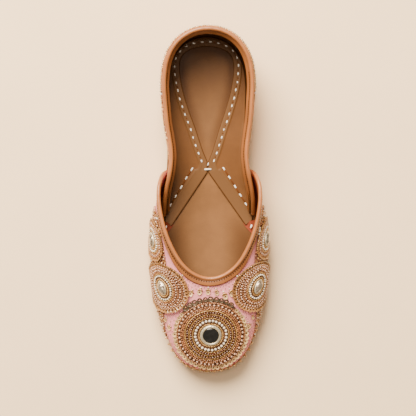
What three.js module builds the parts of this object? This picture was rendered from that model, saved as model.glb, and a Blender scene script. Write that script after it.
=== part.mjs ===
// A South Asian slip-on shoe on a straight last, so that it fits either foot. A beaded vamp laps over
// the front wings of a cupped quarter, and both have a rolled leather topline. Inside are a leather
// insole and a stitched lining yoke with a teardrop opening over the heel. Round and oval beaded
// medallions with a mirror and four stones sit on the vamp.
// The toe points to -Y, the heel to +Y, X runs across and Z up. Sizes are in millimetres.
import * as THREE from "three";

// Sole and last.
const soleLength = 240;
const ballHalf = 38.3;
const soleThickness = 5;
const heelLift = 3;
const archRise = 2.4;
const toeSpring = 3.6;
const soleEdgeRound = 0.8;

// Upper.
const vampHeight = 41.2;
const heelHeight = 52;
const vampWall = 1.8;
const quarterWall = 2;
const soleLedge = 0.5;
const bindingThickness = 0.8;
const rollLift = 0.5;
const bandWidth = 4;

// Inside.
const insoleThickness = 2;
const insoleEdgeRound = 0.5;
const yokeThickness = 1.2;
const tieGap = 0.5;

// Overlays.
const padThickness = 1.4;
const padEdge = 0.8;
const mirrorRadius = 5.6;
const mirrorThickness = 1.3;
const bezelWidth = 1.8;
const bezelHeight = 1.9;
const stoneHalfLength = 4.9;
const stoneHalfWidth = 3.7;
const stoneHeight = 2.6;

// Room left between pieces: seamGap where they follow each other, padGap under a curved overlay.
const seamGap = 0.3;
const padGap = 0.42;

// Where the sole's underside changes, as shares of its length from the back of the heel.
const flatHeelEnd = 0.3;
const ballStart = 0.56;
const toeSpringStart = 0.8;
// The quarter moves in to make room for the vamp between these turns of the outline.
const lapStart = 0.34;
const lapEnd = 0.42;
// The vamp's profiles lean back between these turns from the toe tip, so that its ears stay smooth.
const leanStart = 0.455;
const leanEnd = 0.507;
// How steeply the quarter's profile leaves its foot and its top, as a share of its height.
const quarterRise = 0.35;

// How finely the curved pieces are divided.
const outlineSteps = 36;
const vampColumns = 60;
const vampRows = 13;
const quarterColumns = 44;
const quarterRows = 6;
const rollSteps = 5;
const yokeColumnsPerRow = 2;
const yokeRows = 2;
const roundSegments = 20;
const stoneSegments = 12;
const walkStride = 0.25;
const slopeStep = 1e-3;

// Half width of the sole, as a share of ballHalf. There is a row for each sixteenth of the half turn
// from the back of the heel to the toe tip.
const outlineTable = [
  { half: 0 },
  { half: 0.303 },
  { half: 0.554 },
  { half: 0.721 },
  { half: 0.786 },
  { half: 0.775 },
  { half: 0.752 },
  { half: 0.77 },
  { half: 0.877 },
  { half: 0.982 },
  { half: 0.995 },
  { half: 0.94 },
  { half: 0.833 },
  { half: 0.7 },
  { half: 0.555 },
  { half: 0.33 },
  { half: 0 },
];

// The vamp from the toe's centre line to its back edge. away: turn of its foot from the toe tip.
// half, along, height: its top edge, as shares of ballHalf, soleLength and vampHeight. bulge and
// reach: how far its profile stands out at the foot and at the top, as shares of ballHalf. rise and
// drop: how steeply it leaves the foot and the top, as shares of its own height.
const vampTable = [
  { away: 0, half: 0, along: 0.7325, height: 0.913, bulge: 0.235, reach: 0.93, rise: 0.5, drop: 0.24 },
  { away: 0.1, half: 0.196, along: 0.727, height: 0.918, bulge: 0.23, reach: 0.84, rise: 0.48, drop: 0.25 },
  { away: 0.19, half: 0.381, along: 0.711, height: 0.937, bulge: 0.225, reach: 0.62, rise: 0.47, drop: 0.27 },
  { away: 0.27, half: 0.538, along: 0.687, height: 0.956, bulge: 0.22, reach: 0.43, rise: 0.46, drop: 0.3 },
  { away: 0.34, half: 0.668, along: 0.655, height: 0.976, bulge: 0.215, reach: 0.28, rise: 0.45, drop: 0.33 },
  { away: 0.405, half: 0.794, along: 0.61, height: 0.995, bulge: 0.21, reach: 0.16, rise: 0.43, drop: 0.33 },
  { away: 0.45, half: 0.885, along: 0.56, height: 1, bulge: 0.205, reach: 0.08, rise: 0.41, drop: 0.32 },
  { away: 0.484, half: 0.937, along: 0.508, height: 0.998, bulge: 0.17, reach: 0.03, rise: 0.4, drop: 0.3 },
  { away: 0.507, half: 0.938, along: 0.465, height: 0.962, bulge: 0.12, reach: 0, rise: 0.4, drop: 0.3 },
  { away: 0.525, half: 0.9, along: 0.437, height: 0.862, bulge: 0.08, reach: 0, rise: 0.4, drop: 0.3 },
  { away: 0.537, half: 0.857, along: 0.423, height: 0.69, bulge: 0.05, reach: 0, rise: 0.4, drop: 0.3 },
  { away: 0.546, half: 0.814, along: 0.417, height: 0.47, bulge: 0.02, reach: 0, rise: 0.4, drop: 0.3 },
  { away: 0.552, half: 0.771, along: 0.414, height: 0.22, bulge: 0.005, reach: 0, rise: 0.4, drop: 0.3 },
];

// The quarter from the back of the heel to the front end of its wing. turn: its foot on the outline.
// flare, height: its top edge, as shares of ballHalf and heelHeight. bulge is as for the vamp.
const quarterTable = [
  { turn: 0, flare: 0.078, height: 1, bulge: 0.06 },
  { turn: 0.07, flare: 0.078, height: 0.996, bulge: 0.06 },
  { turn: 0.14, flare: 0.078, height: 0.977, bulge: 0.058 },
  { turn: 0.21, flare: 0.076, height: 0.935, bulge: 0.055 },
  { turn: 0.27, flare: 0.073, height: 0.885, bulge: 0.05 },
  { turn: 0.325, flare: 0.063, height: 0.831, bulge: 0.045 },
  { turn: 0.37, flare: 0.05, height: 0.788, bulge: 0.035 },
  { turn: 0.41, flare: 0.042, height: 0.754, bulge: 0.028 },
  { turn: 0.445, flare: 0.05, height: 0.715, bulge: 0.026 },
  { turn: 0.472, flare: 0.062, height: 0.615, bulge: 0.026 },
  { turn: 0.496, flare: 0.055, height: 0.48, bulge: 0.02 },
  { turn: 0.512, flare: 0.038, height: 0.35, bulge: 0.01 },
  { turn: 0.521, flare: 0.026, height: 0.26, bulge: 0.005 },
];

// The yoke's teardrop opening from the back of the heel to the tie. half, along: its inner edge, as
// shares of ballHalf and soleLength. turn: the point of the outline that the row runs out to.
const teardropTable = [
  { half: 0, along: 0.039, turn: 0 },
  { half: 0.274, along: 0.046, turn: 0.1 },
  { half: 0.454, along: 0.067, turn: 0.175 },
  { half: 0.503, along: 0.105, turn: 0.225 },
  { half: 0.444, along: 0.17, turn: 0.275 },
  { half: 0.329, along: 0.233, turn: 0.32 },
  { half: 0.217, along: 0.284, turn: 0.35 },
  { half: 0.094, along: 0.346, turn: 0.385 },
  { half: 0, along: 0.386, turn: 0.405 },
  { half: 0, along: 0.414, turn: 0.425 },
];
// The front end of each strap that runs on from the tie, in the same terms.
const strapEnd = { half: 0.688, along: 0.572, turn: 0.51 };
const strapSteps = 3;

// Beaded medallions on the vamp. round: place from the toe's centre line to the back edge, up: place
// from foot to top edge. level, upward: half sizes in those directions, as shares of ballHalf.
const medallionTable = [
  { name: "toe_medallion", round: 0, up: 0.62, level: 0.685, upward: 0.685, spokes: 28, rings: 5 },
  { name: "front_medallion", round: 0.23, up: 0.635, level: 0.51, upward: 0.43, spokes: 24, rings: 5 },
  { name: "rear_medallion", round: 0.435, up: 0.56, level: 0.385, upward: 0.27, spokes: 20, rings: 3 },
];

const leather = (color, roughness) => new THREE.MeshStandardMaterial({ color, roughness, metalness: 0 });
const finishes = {
  sole: leather(0x8a5a35, 0.7),
  insole: leather(0xa9774b, 0.5),
  yoke: leather(0x9c6b42, 0.5),
  binding: leather(0xc98c61, 0.45),
  cloth: leather(0xe6aeb4, 0.85),
  beads: new THREE.MeshStandardMaterial({ color: 0xc9a06a, roughness: 0.35, metalness: 0.6 }),
  metal: new THREE.MeshStandardMaterial({ color: 0xd8bd86, roughness: 0.3, metalness: 0.9 }),
  mirror: new THREE.MeshStandardMaterial({ color: 0x4a4c50, roughness: 0.05, metalness: 1 }),
  stone: new THREE.MeshStandardMaterial({ color: 0xdde0d8, roughness: 0.05, metalness: 0.2 }),
};

// A smooth curve through one column of a table, read at a row number that need not be whole. Row
// numbers below 0 are the mirrored half: an odd column changes sign there.
function columnCurve(table, column, odd = false) {
  const last = table.length - 1;
  const valueAt = (row) => {
    if (row < 0) return (odd ? -1 : 1) * table[-row][column];
    if (row > last) return 2 * table[last][column] - table[last - 1][column];
    return table[row][column];
  };
  return (row) => {
    const start = Math.min(Math.floor(Math.abs(row)), last - 1);
    const share = Math.abs(row) - start;
    const [a, b, c, d] = [-1, 0, 1, 2].map((step) => valueAt(start + step));
    const value =
      b + (share * (c - a + share * (2 * a - 5 * b + 4 * c - d + share * (3 * (b - c) + d - a)))) / 2;
    return odd && row < 0 ? -value : value;
  };
}

function smoothStep(from, to, value) {
  const share = Math.min(Math.max((value - from) / (to - from), 0), 1);
  return share * share * (3 - 2 * share);
}

const outlineHalf = columnCurve(outlineTable, "half", true);
const shareOfTurn = (turn) => (1 - Math.cos(Math.PI * turn)) / 2;
const yAt = (along) => soleLength * (0.5 - along);
const alongAt = (y) => 0.5 - y / soleLength;

// The sole's outline. turn is 0 at the back of the heel and 1 at the toe tip on the +X side, and
// negative, or above 1, on the -X side.
function outlinePoint(turn) {
  const side = turn > 1 ? turn - 2 : turn;
  const row = side * (outlineTable.length - 1);
  return new THREE.Vector3(ballHalf * outlineHalf(row), yAt(shareOfTurn(side)), 0);
}

function outlineOutward(turn) {
  const along = outlinePoint(turn + slopeStep).sub(outlinePoint(turn - slopeStep)).normalize();
  return new THREE.Vector3(-along.y, along.x, 0);
}

const insetPoint = (turn, inset) => outlinePoint(turn).addScaledVector(outlineOutward(turn), -inset);

// Heights of the sole at a distance y along it.
function springAt(y) {
  const share = Math.max(0, (alongAt(y) - toeSpringStart) / (1 - toeSpringStart));
  return toeSpring * share * share;
}

function soleBottom(y) {
  const share = Math.min(Math.max((alongAt(y) - flatHeelEnd) / (ballStart - flatHeelEnd), 0), 1);
  return archRise * Math.sin(Math.PI * share) ** 2 + springAt(y);
}

function soleTop(y) {
  const forward = smoothStep(flatHeelEnd, ballStart, alongAt(y));
  return soleThickness + heelLift * (1 - forward) + springAt(y);
}

const insoleBottom = (y) => soleTop(y) + seamGap;
const yokeBottom = (y) => insoleBottom(y) + insoleThickness + seamGap;

const vampInset = soleLedge;
const quarterInset = (turn) =>
  soleLedge + (vampWall + seamGap) * smoothStep(lapStart, lapEnd, Math.abs(turn));

// The insole fills what the quarter leaves, and widens to the vamp past the wings' ends.
const wingTurn = quarterTable[quarterTable.length - 1].turn;
const insoleWidenTurn = wingTurn + 0.05;
function insoleInset(turn) {
  const inQuarter = quarterInset(turn) + quarterWall + 2 * seamGap;
  const inVamp = vampInset + vampWall + 2 * seamGap;
  const share = smoothStep(wingTurn, insoleWidenTurn, Math.abs(turn));
  return inQuarter + (inVamp - inQuarter) * share;
}

// A point of a wall's outer face: up its profile from foot (0) to top edge (1). The profile sets off
// and arrives straight up, or along the line from foot to top edge where lean is 1.
function profilePoint({ foot, top, outward, bulge, rise, reach, drop, lean }, up) {
  const climb = top.clone().sub(foot).multiply(new THREE.Vector3(lean, lean, 1));
  const low = foot.clone().addScaledVector(outward, bulge * ballHalf).addScaledVector(climb, rise);
  const high = top.clone().addScaledVector(outward, reach * ballHalf).addScaledVector(climb, -drop);
  return new THREE.CubicBezierCurve3(foot, low, high, top).getPoint(up);
}

// Makes a wall: round is -1 to 1 from its -X end to its +X end, up is 0 to 1 from foot to top edge.
function makeWall(table, oddColumns, profileAt, facing) {
  const curves = {};
  for (const column of Object.keys(table[0])) {
    curves[column] = columnCurve(table, column, oddColumns.includes(column));
  }
  const outer = (round, up) => {
    const row = {};
    for (const column of Object.keys(curves)) row[column] = curves[column](round * (table.length - 1));
    return profilePoint({ ...row, ...profileAt(row) }, up);
  };
  const slopes = (round, up) => ({
    alongRound: outer(round + slopeStep, up).sub(outer(round - slopeStep, up)).divideScalar(2 * slopeStep),
    alongUp: outer(round, up + slopeStep).sub(outer(round, up - slopeStep)).divideScalar(2 * slopeStep),
  });
  const normal = (round, up) => {
    const { alongRound, alongUp } = slopes(round, up);
    return alongRound.cross(alongUp).multiplyScalar(facing).normalize();
  };
  // Offset outwards from the outer face, or inwards where it is negative. A foot moves level.
  const point = (round, up, offset = 0) => {
    const direction = normal(round, up);
    if (up <= 0) direction.setZ(0).normalize();
    return outer(round, up).addScaledVector(direction, offset);
  };
  return { point, normal, slopes };
}

const vamp = makeWall(
  vampTable,
  ["away", "half"],
  ({ away, half, along, height }) => {
    const foot = insetPoint(1 - away, vampInset);
    foot.z = insoleBottom(foot.y);
    return {
      foot,
      outward: outlineOutward(1 - away),
      top: new THREE.Vector3(half * ballHalf, yAt(along), height * vampHeight),
      lean: smoothStep(leanStart, leanEnd, Math.abs(away)),
    };
  },
  1,
);

const quarter = makeWall(
  quarterTable,
  ["turn"],
  ({ turn, flare, height }) => {
    const foot = insetPoint(turn, quarterInset(turn));
    foot.z = insoleBottom(foot.y);
    const outward = outlineOutward(turn);
    const top = foot.clone().addScaledVector(outward, flare * ballHalf).setZ(height * heelHeight);
    return { foot, outward, top, rise: quarterRise, reach: 0, drop: quarterRise, lean: 0 };
  },
  -1,
);

// A closed mesh from points and triangles, turned to face outwards.
function closedMesh(points, triangles) {
  let volume = 0;
  for (const [a, b, c] of triangles) volume += points[a].dot(points[b].clone().cross(points[c]));
  const geometry = new THREE.BufferGeometry();
  geometry.setAttribute(
    "position",
    new THREE.Float32BufferAttribute(points.flatMap((point) => point.toArray()), 3),
  );
  geometry.setIndex(triangles.flatMap(([a, b, c]) => (volume < 0 ? [a, c, b] : [a, b, c])));
  geometry.computeVertexNormals();
  return geometry;
}

// A plate with two faces and four edges. pointAt takes shares across and along, and the face, 0 or 1.
function plate(pointAt, columns, rows) {
  const points = [];
  const triangles = [];
  for (const face of [0, 1]) {
    for (let i = 0; i <= columns; i++) {
      for (let j = 0; j <= rows; j++) points.push(pointAt(i / columns, j / rows, face));
    }
  }
  const index = (face, i, j) => (face * (columns + 1) + i) * (rows + 1) + j;
  const quad = (a, b, c, d) => triangles.push([a, b, c], [a, c, d]);
  for (let i = 0; i < columns; i++) {
    for (let j = 0; j < rows; j++) {
      quad(index(0, i, j), index(0, i + 1, j), index(0, i + 1, j + 1), index(0, i, j + 1));
      quad(index(1, i, j), index(1, i, j + 1), index(1, i + 1, j + 1), index(1, i + 1, j));
    }
    quad(index(0, i, 0), index(1, i, 0), index(1, i + 1, 0), index(0, i + 1, 0));
    quad(index(0, i, rows), index(0, i + 1, rows), index(1, i + 1, rows), index(1, i, rows));
  }
  for (let j = 0; j < rows; j++) {
    quad(index(0, 0, j), index(0, 0, j + 1), index(1, 0, j + 1), index(1, 0, j));
    quad(index(0, columns, j), index(1, columns, j), index(1, columns, j + 1), index(0, columns, j + 1));
  }
  return closedMesh(points, triangles);
}

function wallShell(wall, thickness, columns, rows) {
  return plate((i, j, face) => wall.point(2 * i - 1, j, face ? -thickness : 0), columns, rows);
}

// A flat layer bounded by the outline: loops from its lower edge to its upper edge, each moved in by
// its own inset, with straight rungs across the two end faces.
function layer(loops) {
  const points = [];
  const triangles = [];
  const count = 2 * outlineSteps;
  for (const { inset, height } of loops) {
    for (let i = 0; i < count; i++) {
      const turn = i <= outlineSteps ? i / outlineSteps : (i - count) / outlineSteps;
      const point = insetPoint(turn, inset(turn));
      points.push(point.setZ(height(point.y)));
    }
  }
  for (let loop = 0; loop < loops.length - 1; loop++) {
    for (let i = 0; i < count; i++) {
      const a = loop * count + i;
      const b = loop * count + ((i + 1) % count);
      triangles.push([a, b, b + count], [a, b + count, a + count]);
    }
  }
  const top = (loops.length - 1) * count;
  for (let i = 0; i < outlineSteps; i++) {
    const [right, nextRight] = [i, i + 1];
    const [left, nextLeft] = [(count - i) % count, (count - i - 1) % count];
    if (i > 0) triangles.push([right, left, nextRight], [top + right, top + nextRight, top + left]);
    if (i < outlineSteps - 1) {
      triangles.push([left, nextLeft, nextRight], [top + left, top + nextRight, top + nextLeft]);
    }
  }
  return closedMesh(points, triangles);
}

// A rolled topline: a band on one face of the wall and a roll over its edge. inside is true where the
// band lies on the wall's inner face. Each section stands square to the edge.
function binding(wall, wallThickness, inside, columns) {
  const bandFace = seamGap + bindingThickness;
  const rollRadius = (bandFace + wallThickness) / 2;
  const rollCentre = bandFace - rollRadius;
  const rollRise = seamGap + rollRadius * rollLift;
  const section = [
    { out: seamGap, down: -seamGap },
    { out: seamGap, down: bandWidth / 2 },
    { out: seamGap, down: bandWidth },
    { out: bandFace, down: bandWidth },
    { out: bandFace, down: bandWidth / 2 },
    { out: bandFace, down: -seamGap },
  ];
  const rollEnd = 0.4;
  for (let k = 0; k <= rollSteps; k++) {
    const angle = (Math.PI * (k + rollEnd)) / (rollSteps + 2 * rollEnd);
    section.push({
      out: rollCentre + rollRadius * Math.cos(angle),
      down: -rollRise - rollRadius * Math.sin(angle),
    });
  }
  section.push({ out: -wallThickness, down: -seamGap });

  const points = [];
  for (let i = 0; i <= columns; i++) {
    const round = (2 * i) / columns - 1;
    const edge = wall.slopes(round, 1).alongRound;
    const outward = edge.cross(wall.normal(round, 1)).normalize();
    if (outward.dot(wall.slopes(round, 1).alongUp) < 0) outward.negate();
    const depths = [bandWidth / 2, bandWidth];
    const places = walk(wall, { round, up: 1 }, outward.clone().negate(), depths);
    for (const { out, down } of section) {
      const offset = inside ? -wallThickness - out : out;
      const place = down > 0 ? places[depths.indexOf(down)] : { round, up: 1 };
      const point = wall.point(place.round, place.up, offset);
      points.push(point.addScaledVector(outward, Math.max(0, -down)));
    }
  }
  const triangles = [];
  const size = section.length;
  for (let i = 0; i < columns; i++) {
    for (let k = 0; k < size; k++) {
      const a = i * size + k;
      const b = i * size + ((k + 1) % size);
      triangles.push([a, a + size, b + size], [a, b + size, b]);
    }
  }
  const contour = section.map(({ out, down }) => new THREE.Vector2(out, down));
  const lastSection = columns * size;
  for (const corners of THREE.ShapeUtils.triangulateShape(contour, [])) {
    const [a, b, c] = corners.sort((first, second) => first - second);
    triangles.push([a, b, c], [lastSection + a, lastSection + c, lastSection + b]);
  }
  return closedMesh(points, triangles);
}

// Walks over a wall's outer face from a place in a direction, keeping to the surface, and returns
// the places reached at each of the given distances.
function walk(wall, start, direction, distances) {
  let place = { ...start };
  let travelled = 0;
  const heading = direction.clone();
  const stepFrom = (origin, at, length) => {
    const { alongRound, alongUp } = wall.slopes(at.round, at.up);
    const [aa, ab, bb] = [alongRound.dot(alongRound), alongRound.dot(alongUp), alongUp.dot(alongUp)];
    const [ha, hb] = [heading.dot(alongRound) * length, heading.dot(alongUp) * length];
    const determinant = aa * bb - ab * ab;
    return {
      round: origin.round + (ha * bb - hb * ab) / determinant,
      up: origin.up + (hb * aa - ha * ab) / determinant,
    };
  };
  return distances.map((distance) => {
    while (travelled < distance - 1e-9) {
      const step = Math.min(walkStride, distance - travelled);
      place = stepFrom(place, stepFrom(place, place, step / 2), step);
      travelled += step;
      const normal = wall.normal(place.round, place.up);
      heading.addScaledVector(normal, -heading.dot(normal)).normalize();
    }
    return place;
  });
}

// Unit directions on a wall at a place: up its profile, and level towards +round.
function directionsAt(wall, { round, up }) {
  const upward = wall.slopes(round, up).alongUp.normalize();
  const normal = wall.normal(round, up);
  const level = new THREE.Vector3().crossVectors(upward, normal).normalize();
  if (level.dot(wall.slopes(round, up).alongRound) < 0) level.negate();
  return { upward, normal, level };
}

// A padded disc that follows the wall, thicker in the middle than at its rim.
function paddedDisc(wall, centre, halfLevel, halfUpward, discSpokes, discRings) {
  const { upward, level } = directionsAt(wall, centre);
  const faces = [0, 1].map(() => []);
  const heightAt = (share) => padGap + padEdge + (padThickness - padEdge) * (1 - share * share);
  for (let spoke = 0; spoke < discSpokes; spoke++) {
    const angle = (2 * Math.PI * spoke) / discSpokes;
    const direction = level.clone().multiplyScalar(Math.cos(angle)).addScaledVector(upward, Math.sin(angle));
    const reach = 1 / Math.hypot(Math.cos(angle) / halfLevel, Math.sin(angle) / halfUpward);
    const shares = Array.from({ length: discRings }, (_, ring) => (ring + 1) / discRings);
    const places = walk(wall, centre, direction, shares.map((share) => share * reach));
    places.forEach(({ round, up }, ring) => {
      faces[0].push(wall.point(round, up, padGap));
      faces[1].push(wall.point(round, up, heightAt(shares[ring])));
    });
  }
  const perFace = discSpokes * discRings;
  const points = [...faces[0], ...faces[1]];
  const middles = [points.length, points.length + 1];
  points.push(wall.point(centre.round, centre.up, padGap), wall.point(centre.round, centre.up, heightAt(0)));
  const triangles = [];
  for (let spoke = 0; spoke < discSpokes; spoke++) {
    const here = spoke * discRings;
    const next = ((spoke + 1) % discSpokes) * discRings;
    triangles.push([middles[0], next, here], [middles[1], perFace + here, perFace + next]);
    for (let ring = 0; ring < discRings - 1; ring++) {
      const [a, b, c, d] = [here + ring, here + ring + 1, next + ring + 1, next + ring];
      triangles.push([a, c, b], [a, d, c]);
      triangles.push([perFace + a, perFace + b, perFace + c], [perFace + a, perFace + c, perFace + d]);
    }
    const [a, b] = [here + discRings - 1, next + discRings - 1];
    triangles.push([a, b, perFace + b], [a, perFace + b, perFace + a]);
  }
  return closedMesh(points, triangles);
}

const shoe = new THREE.Group();
function addPiece(name, geometry, material, parent = shoe) {
  const mesh = new THREE.Mesh(geometry, material);
  mesh.name = name;
  parent.add(mesh);
  return mesh;
}

// Sole and insole.
const lowered = (height, depth) => (y) => height(y) + depth;
const fixedInset = (inset) => () => inset;
addPiece(
  "outsole",
  layer([
    { inset: fixedInset(soleEdgeRound), height: soleBottom },
    { inset: fixedInset(0), height: lowered(soleBottom, soleEdgeRound) },
    { inset: fixedInset(0), height: lowered(soleTop, -soleEdgeRound) },
    { inset: fixedInset(soleEdgeRound), height: soleTop },
  ]),
  finishes.sole,
);
addPiece(
  "insole",
  layer([
    { inset: insoleInset, height: insoleBottom },
    { inset: insoleInset, height: lowered(insoleBottom, insoleThickness - insoleEdgeRound) },
    {
      inset: (turn) => insoleInset(turn) + insoleEdgeRound,
      height: lowered(insoleBottom, insoleThickness),
    },
  ]),
  finishes.insole,
);

// The lining yoke: a flat leather layer from the teardrop's edge out to the quarter's inner face. Its
// two sides meet at the tie and run on as straps.
const teardropHalf = columnCurve(teardropTable, "half", true);
const teardropAlong = columnCurve(teardropTable, "along");
const teardropTurn = columnCurve(teardropTable, "turn", true);
const tieRow = teardropTable.length - 1;
const yokeRow = tieRow + strapSteps;
function yokeEdges(row) {
  const side = Math.sign(row);
  const teardropRow = side * Math.min(Math.abs(row), tieRow);
  const inner = new THREE.Vector2(
    Math.max(ballHalf * teardropHalf(teardropRow) * side, Math.abs(row) < 1 ? 0 : tieGap / 2),
    yAt(teardropAlong(teardropRow)),
  );
  const strapShare = Math.max(0, (Math.abs(row) - tieRow) / strapSteps);
  inner.lerp(new THREE.Vector2(strapEnd.half * ballHalf, yAt(strapEnd.along)), strapShare);
  const turn = Math.abs(teardropTurn(teardropRow));
  return {
    inner: new THREE.Vector3(side * inner.x, inner.y, 0),
    turn: side * (turn + strapShare * (strapEnd.turn - turn)),
  };
}
addPiece(
  "lining_yoke",
  plate(
    (i, j, face) => {
      const { inner, turn } = yokeEdges((2 * i - 1) * yokeRow);
      const outer = insetPoint(turn, quarterInset(turn) + quarterWall + seamGap);
      const point = inner.lerp(outer, j);
      return point.setZ(yokeBottom(point.y) + face * yokeThickness);
    },
    2 * yokeColumnsPerRow * yokeRow,
    yokeRows,
  ),
  finishes.yoke,
);

// Upper.
addPiece("quarter", wallShell(quarter, quarterWall, quarterColumns, quarterRows), finishes.cloth);
addPiece("vamp", wallShell(vamp, vampWall, vampColumns, vampRows), finishes.cloth);
addPiece("quarter_binding", binding(quarter, quarterWall, true, quarterColumns), finishes.binding);
addPiece("vamp_binding", binding(vamp, vampWall, false, vampColumns), finishes.binding);

// A group whose Z axis stands out of the wall at a place, on top of the medallion there.
function standOn(wall, centre) {
  const { upward, normal } = directionsAt(wall, centre);
  const right = new THREE.Vector3().crossVectors(upward, normal);
  const group = new THREE.Group();
  group.quaternion.setFromRotationMatrix(new THREE.Matrix4().makeBasis(right, upward, normal));
  group.position.copy(wall.point(centre.round, centre.up, padGap + padThickness + seamGap));
  shoe.add(group);
  return group;
}

// Half sections of the jewels. out: share of the width between inner and outer radius, up: share of
// the height.
const mirrorSection = [
  { out: 0, up: 0 },
  { out: 1, up: 0 },
  { out: 1, up: 0.75 },
  { out: 0.85, up: 1 },
  { out: 0, up: 1 },
];
const bezelSection = [
  { out: 0, up: 0 },
  { out: 1, up: 0 },
  { out: 1, up: 0.5 },
  { out: 0.5, up: 1 },
  { out: 0, up: 0.8 },
  { out: 0, up: 0 },
];
const stoneSection = [
  { out: 0, up: 0 },
  { out: 1, up: 0 },
  { out: 1, up: 0.35 },
  { out: 0.72, up: 0.8 },
  { out: 0.4, up: 1 },
  { out: 0, up: 1 },
];
function turned(section, innerRadius, width, height, segments) {
  const profile = section.map(({ out, up }) => new THREE.Vector2(innerRadius + out * width, up * height));
  return new THREE.LatheGeometry(profile, segments).rotateX(Math.PI / 2);
}

function addMirror(group) {
  const mirror = turned(mirrorSection, 0, mirrorRadius, mirrorThickness, roundSegments);
  const bezel = turned(bezelSection, mirrorRadius + seamGap, bezelWidth, bezelHeight, roundSegments);
  addPiece("toe_mirror", mirror, finishes.mirror, group);
  addPiece("toe_bezel", bezel, finishes.metal, group);
}

function addStone(group, name) {
  const stone = turned(stoneSection, 0, stoneHalfLength, stoneHeight, stoneSegments);
  addPiece(name, stone.scale(1, stoneHalfWidth / stoneHalfLength, 1), finishes.stone, group);
}

const alone = [{ side: 1, suffix: "" }];
const pair = [
  { side: -1, suffix: "_left" },
  { side: 1, suffix: "_right" },
];

// Medallions, with the mirror in the one on the toe and a stone in each of the others.
for (const { name, round, up, level, upward, spokes, rings } of medallionTable) {
  for (const { side, suffix } of round === 0 ? alone : pair) {
    const centre = { round: side * round, up };
    const disc = paddedDisc(vamp, centre, level * ballHalf, upward * ballHalf, spokes, rings);
    addPiece(name + suffix, disc, finishes.beads);
    const group = standOn(vamp, centre);
    if (round === 0) addMirror(group);
    else addStone(group, name.replace("medallion", "stone") + suffix);
  }
}

// The shoe stands on Z = 0 with the middle of its length at Y = 0.
const bounds = new THREE.Box3().setFromObject(shoe, true);
shoe.position.y = -(bounds.min.y + bounds.max.y) / 2;

export default shoe;
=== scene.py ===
import math

import bpy
import numpy as np
from mathutils import Matrix, Quaternion, Vector
from mathutils.kdtree import KDTree


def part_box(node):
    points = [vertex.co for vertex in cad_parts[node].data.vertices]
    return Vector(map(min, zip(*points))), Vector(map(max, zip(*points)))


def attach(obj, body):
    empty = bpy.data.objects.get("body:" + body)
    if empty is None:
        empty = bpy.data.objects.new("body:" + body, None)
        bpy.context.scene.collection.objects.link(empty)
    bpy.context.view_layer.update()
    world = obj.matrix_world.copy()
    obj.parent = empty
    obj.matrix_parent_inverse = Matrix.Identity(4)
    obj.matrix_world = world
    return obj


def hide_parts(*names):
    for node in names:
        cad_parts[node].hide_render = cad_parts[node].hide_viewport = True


bl_info = {
    "name": "Mojari Shoe Dressing",
    "version": (1, 0, 0),
    "blender": (4, 5, 0),
    "location": "View3D > Sidebar > Mojari",
    "description": "Leather, cloth, beads and stitches for a South Asian slip-on shoe",
    "category": "Add Mesh",
}

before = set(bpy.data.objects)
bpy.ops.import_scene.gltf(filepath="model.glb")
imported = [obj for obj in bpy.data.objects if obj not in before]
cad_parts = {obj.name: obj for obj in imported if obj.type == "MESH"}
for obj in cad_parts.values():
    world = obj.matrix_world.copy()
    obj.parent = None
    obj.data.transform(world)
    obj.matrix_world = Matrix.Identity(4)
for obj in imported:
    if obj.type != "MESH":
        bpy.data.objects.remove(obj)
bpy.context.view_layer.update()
MM = 0.001

# The last and the upper, in metres, as the solids have them.
SOLE_LENGTH = 0.240
BALL_HALF = 0.0383
SOLE_THICKNESS = 5 * MM
HEEL_LIFT = 3 * MM
ARCH_RISE = 2.4 * MM
TOE_SPRING = 3.6 * MM
VAMP_HEIGHT = 41.2 * MM
HEEL_HEIGHT = 52 * MM
VAMP_WALL = 1.8 * MM
QUARTER_WALL = 2 * MM
SOLE_LEDGE = 0.5 * MM
BINDING_THICKNESS = 0.8 * MM
ROLL_LIFT = 0.5
BAND_WIDTH = 4 * MM
INSOLE_THICKNESS = 2 * MM
YOKE_THICKNESS = 1.2 * MM
TIE_GAP = 0.5 * MM
PAD_THICKNESS = 1.4 * MM
PAD_EDGE = 0.8 * MM
MIRROR_RADIUS = 5.6 * MM
BEZEL_WIDTH = 1.8 * MM
STONE_HALF_LENGTH = 4.9 * MM
STONE_HALF_WIDTH = 3.7 * MM
SEAM_GAP = 0.3 * MM
PAD_GAP = 0.42 * MM

# Where the sole's underside changes, as shares of its length from the back of the heel.
FLAT_HEEL_END = 0.3
BALL_START = 0.56
TOE_SPRING_START = 0.8
LAP_START = 0.34
LAP_END = 0.42
LEAN_START = 0.455
LEAN_END = 0.507
QUARTER_RISE = 0.35

# Steps of the numeric slopes, and of a walk over a wall.
SLOPE_STEP = 1e-3
WALK_STRIDE = 0.25 * MM
PLY_PITCH = 0.35 * MM
SIZE_VARIATION = 0.04
SIZE_SEED = 7

# The middle of the solids' length is at Y = 0, and the sole's own middle is a little behind it.
ALONG_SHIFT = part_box("outsole")[0].y + SOLE_LENGTH / 2

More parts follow.
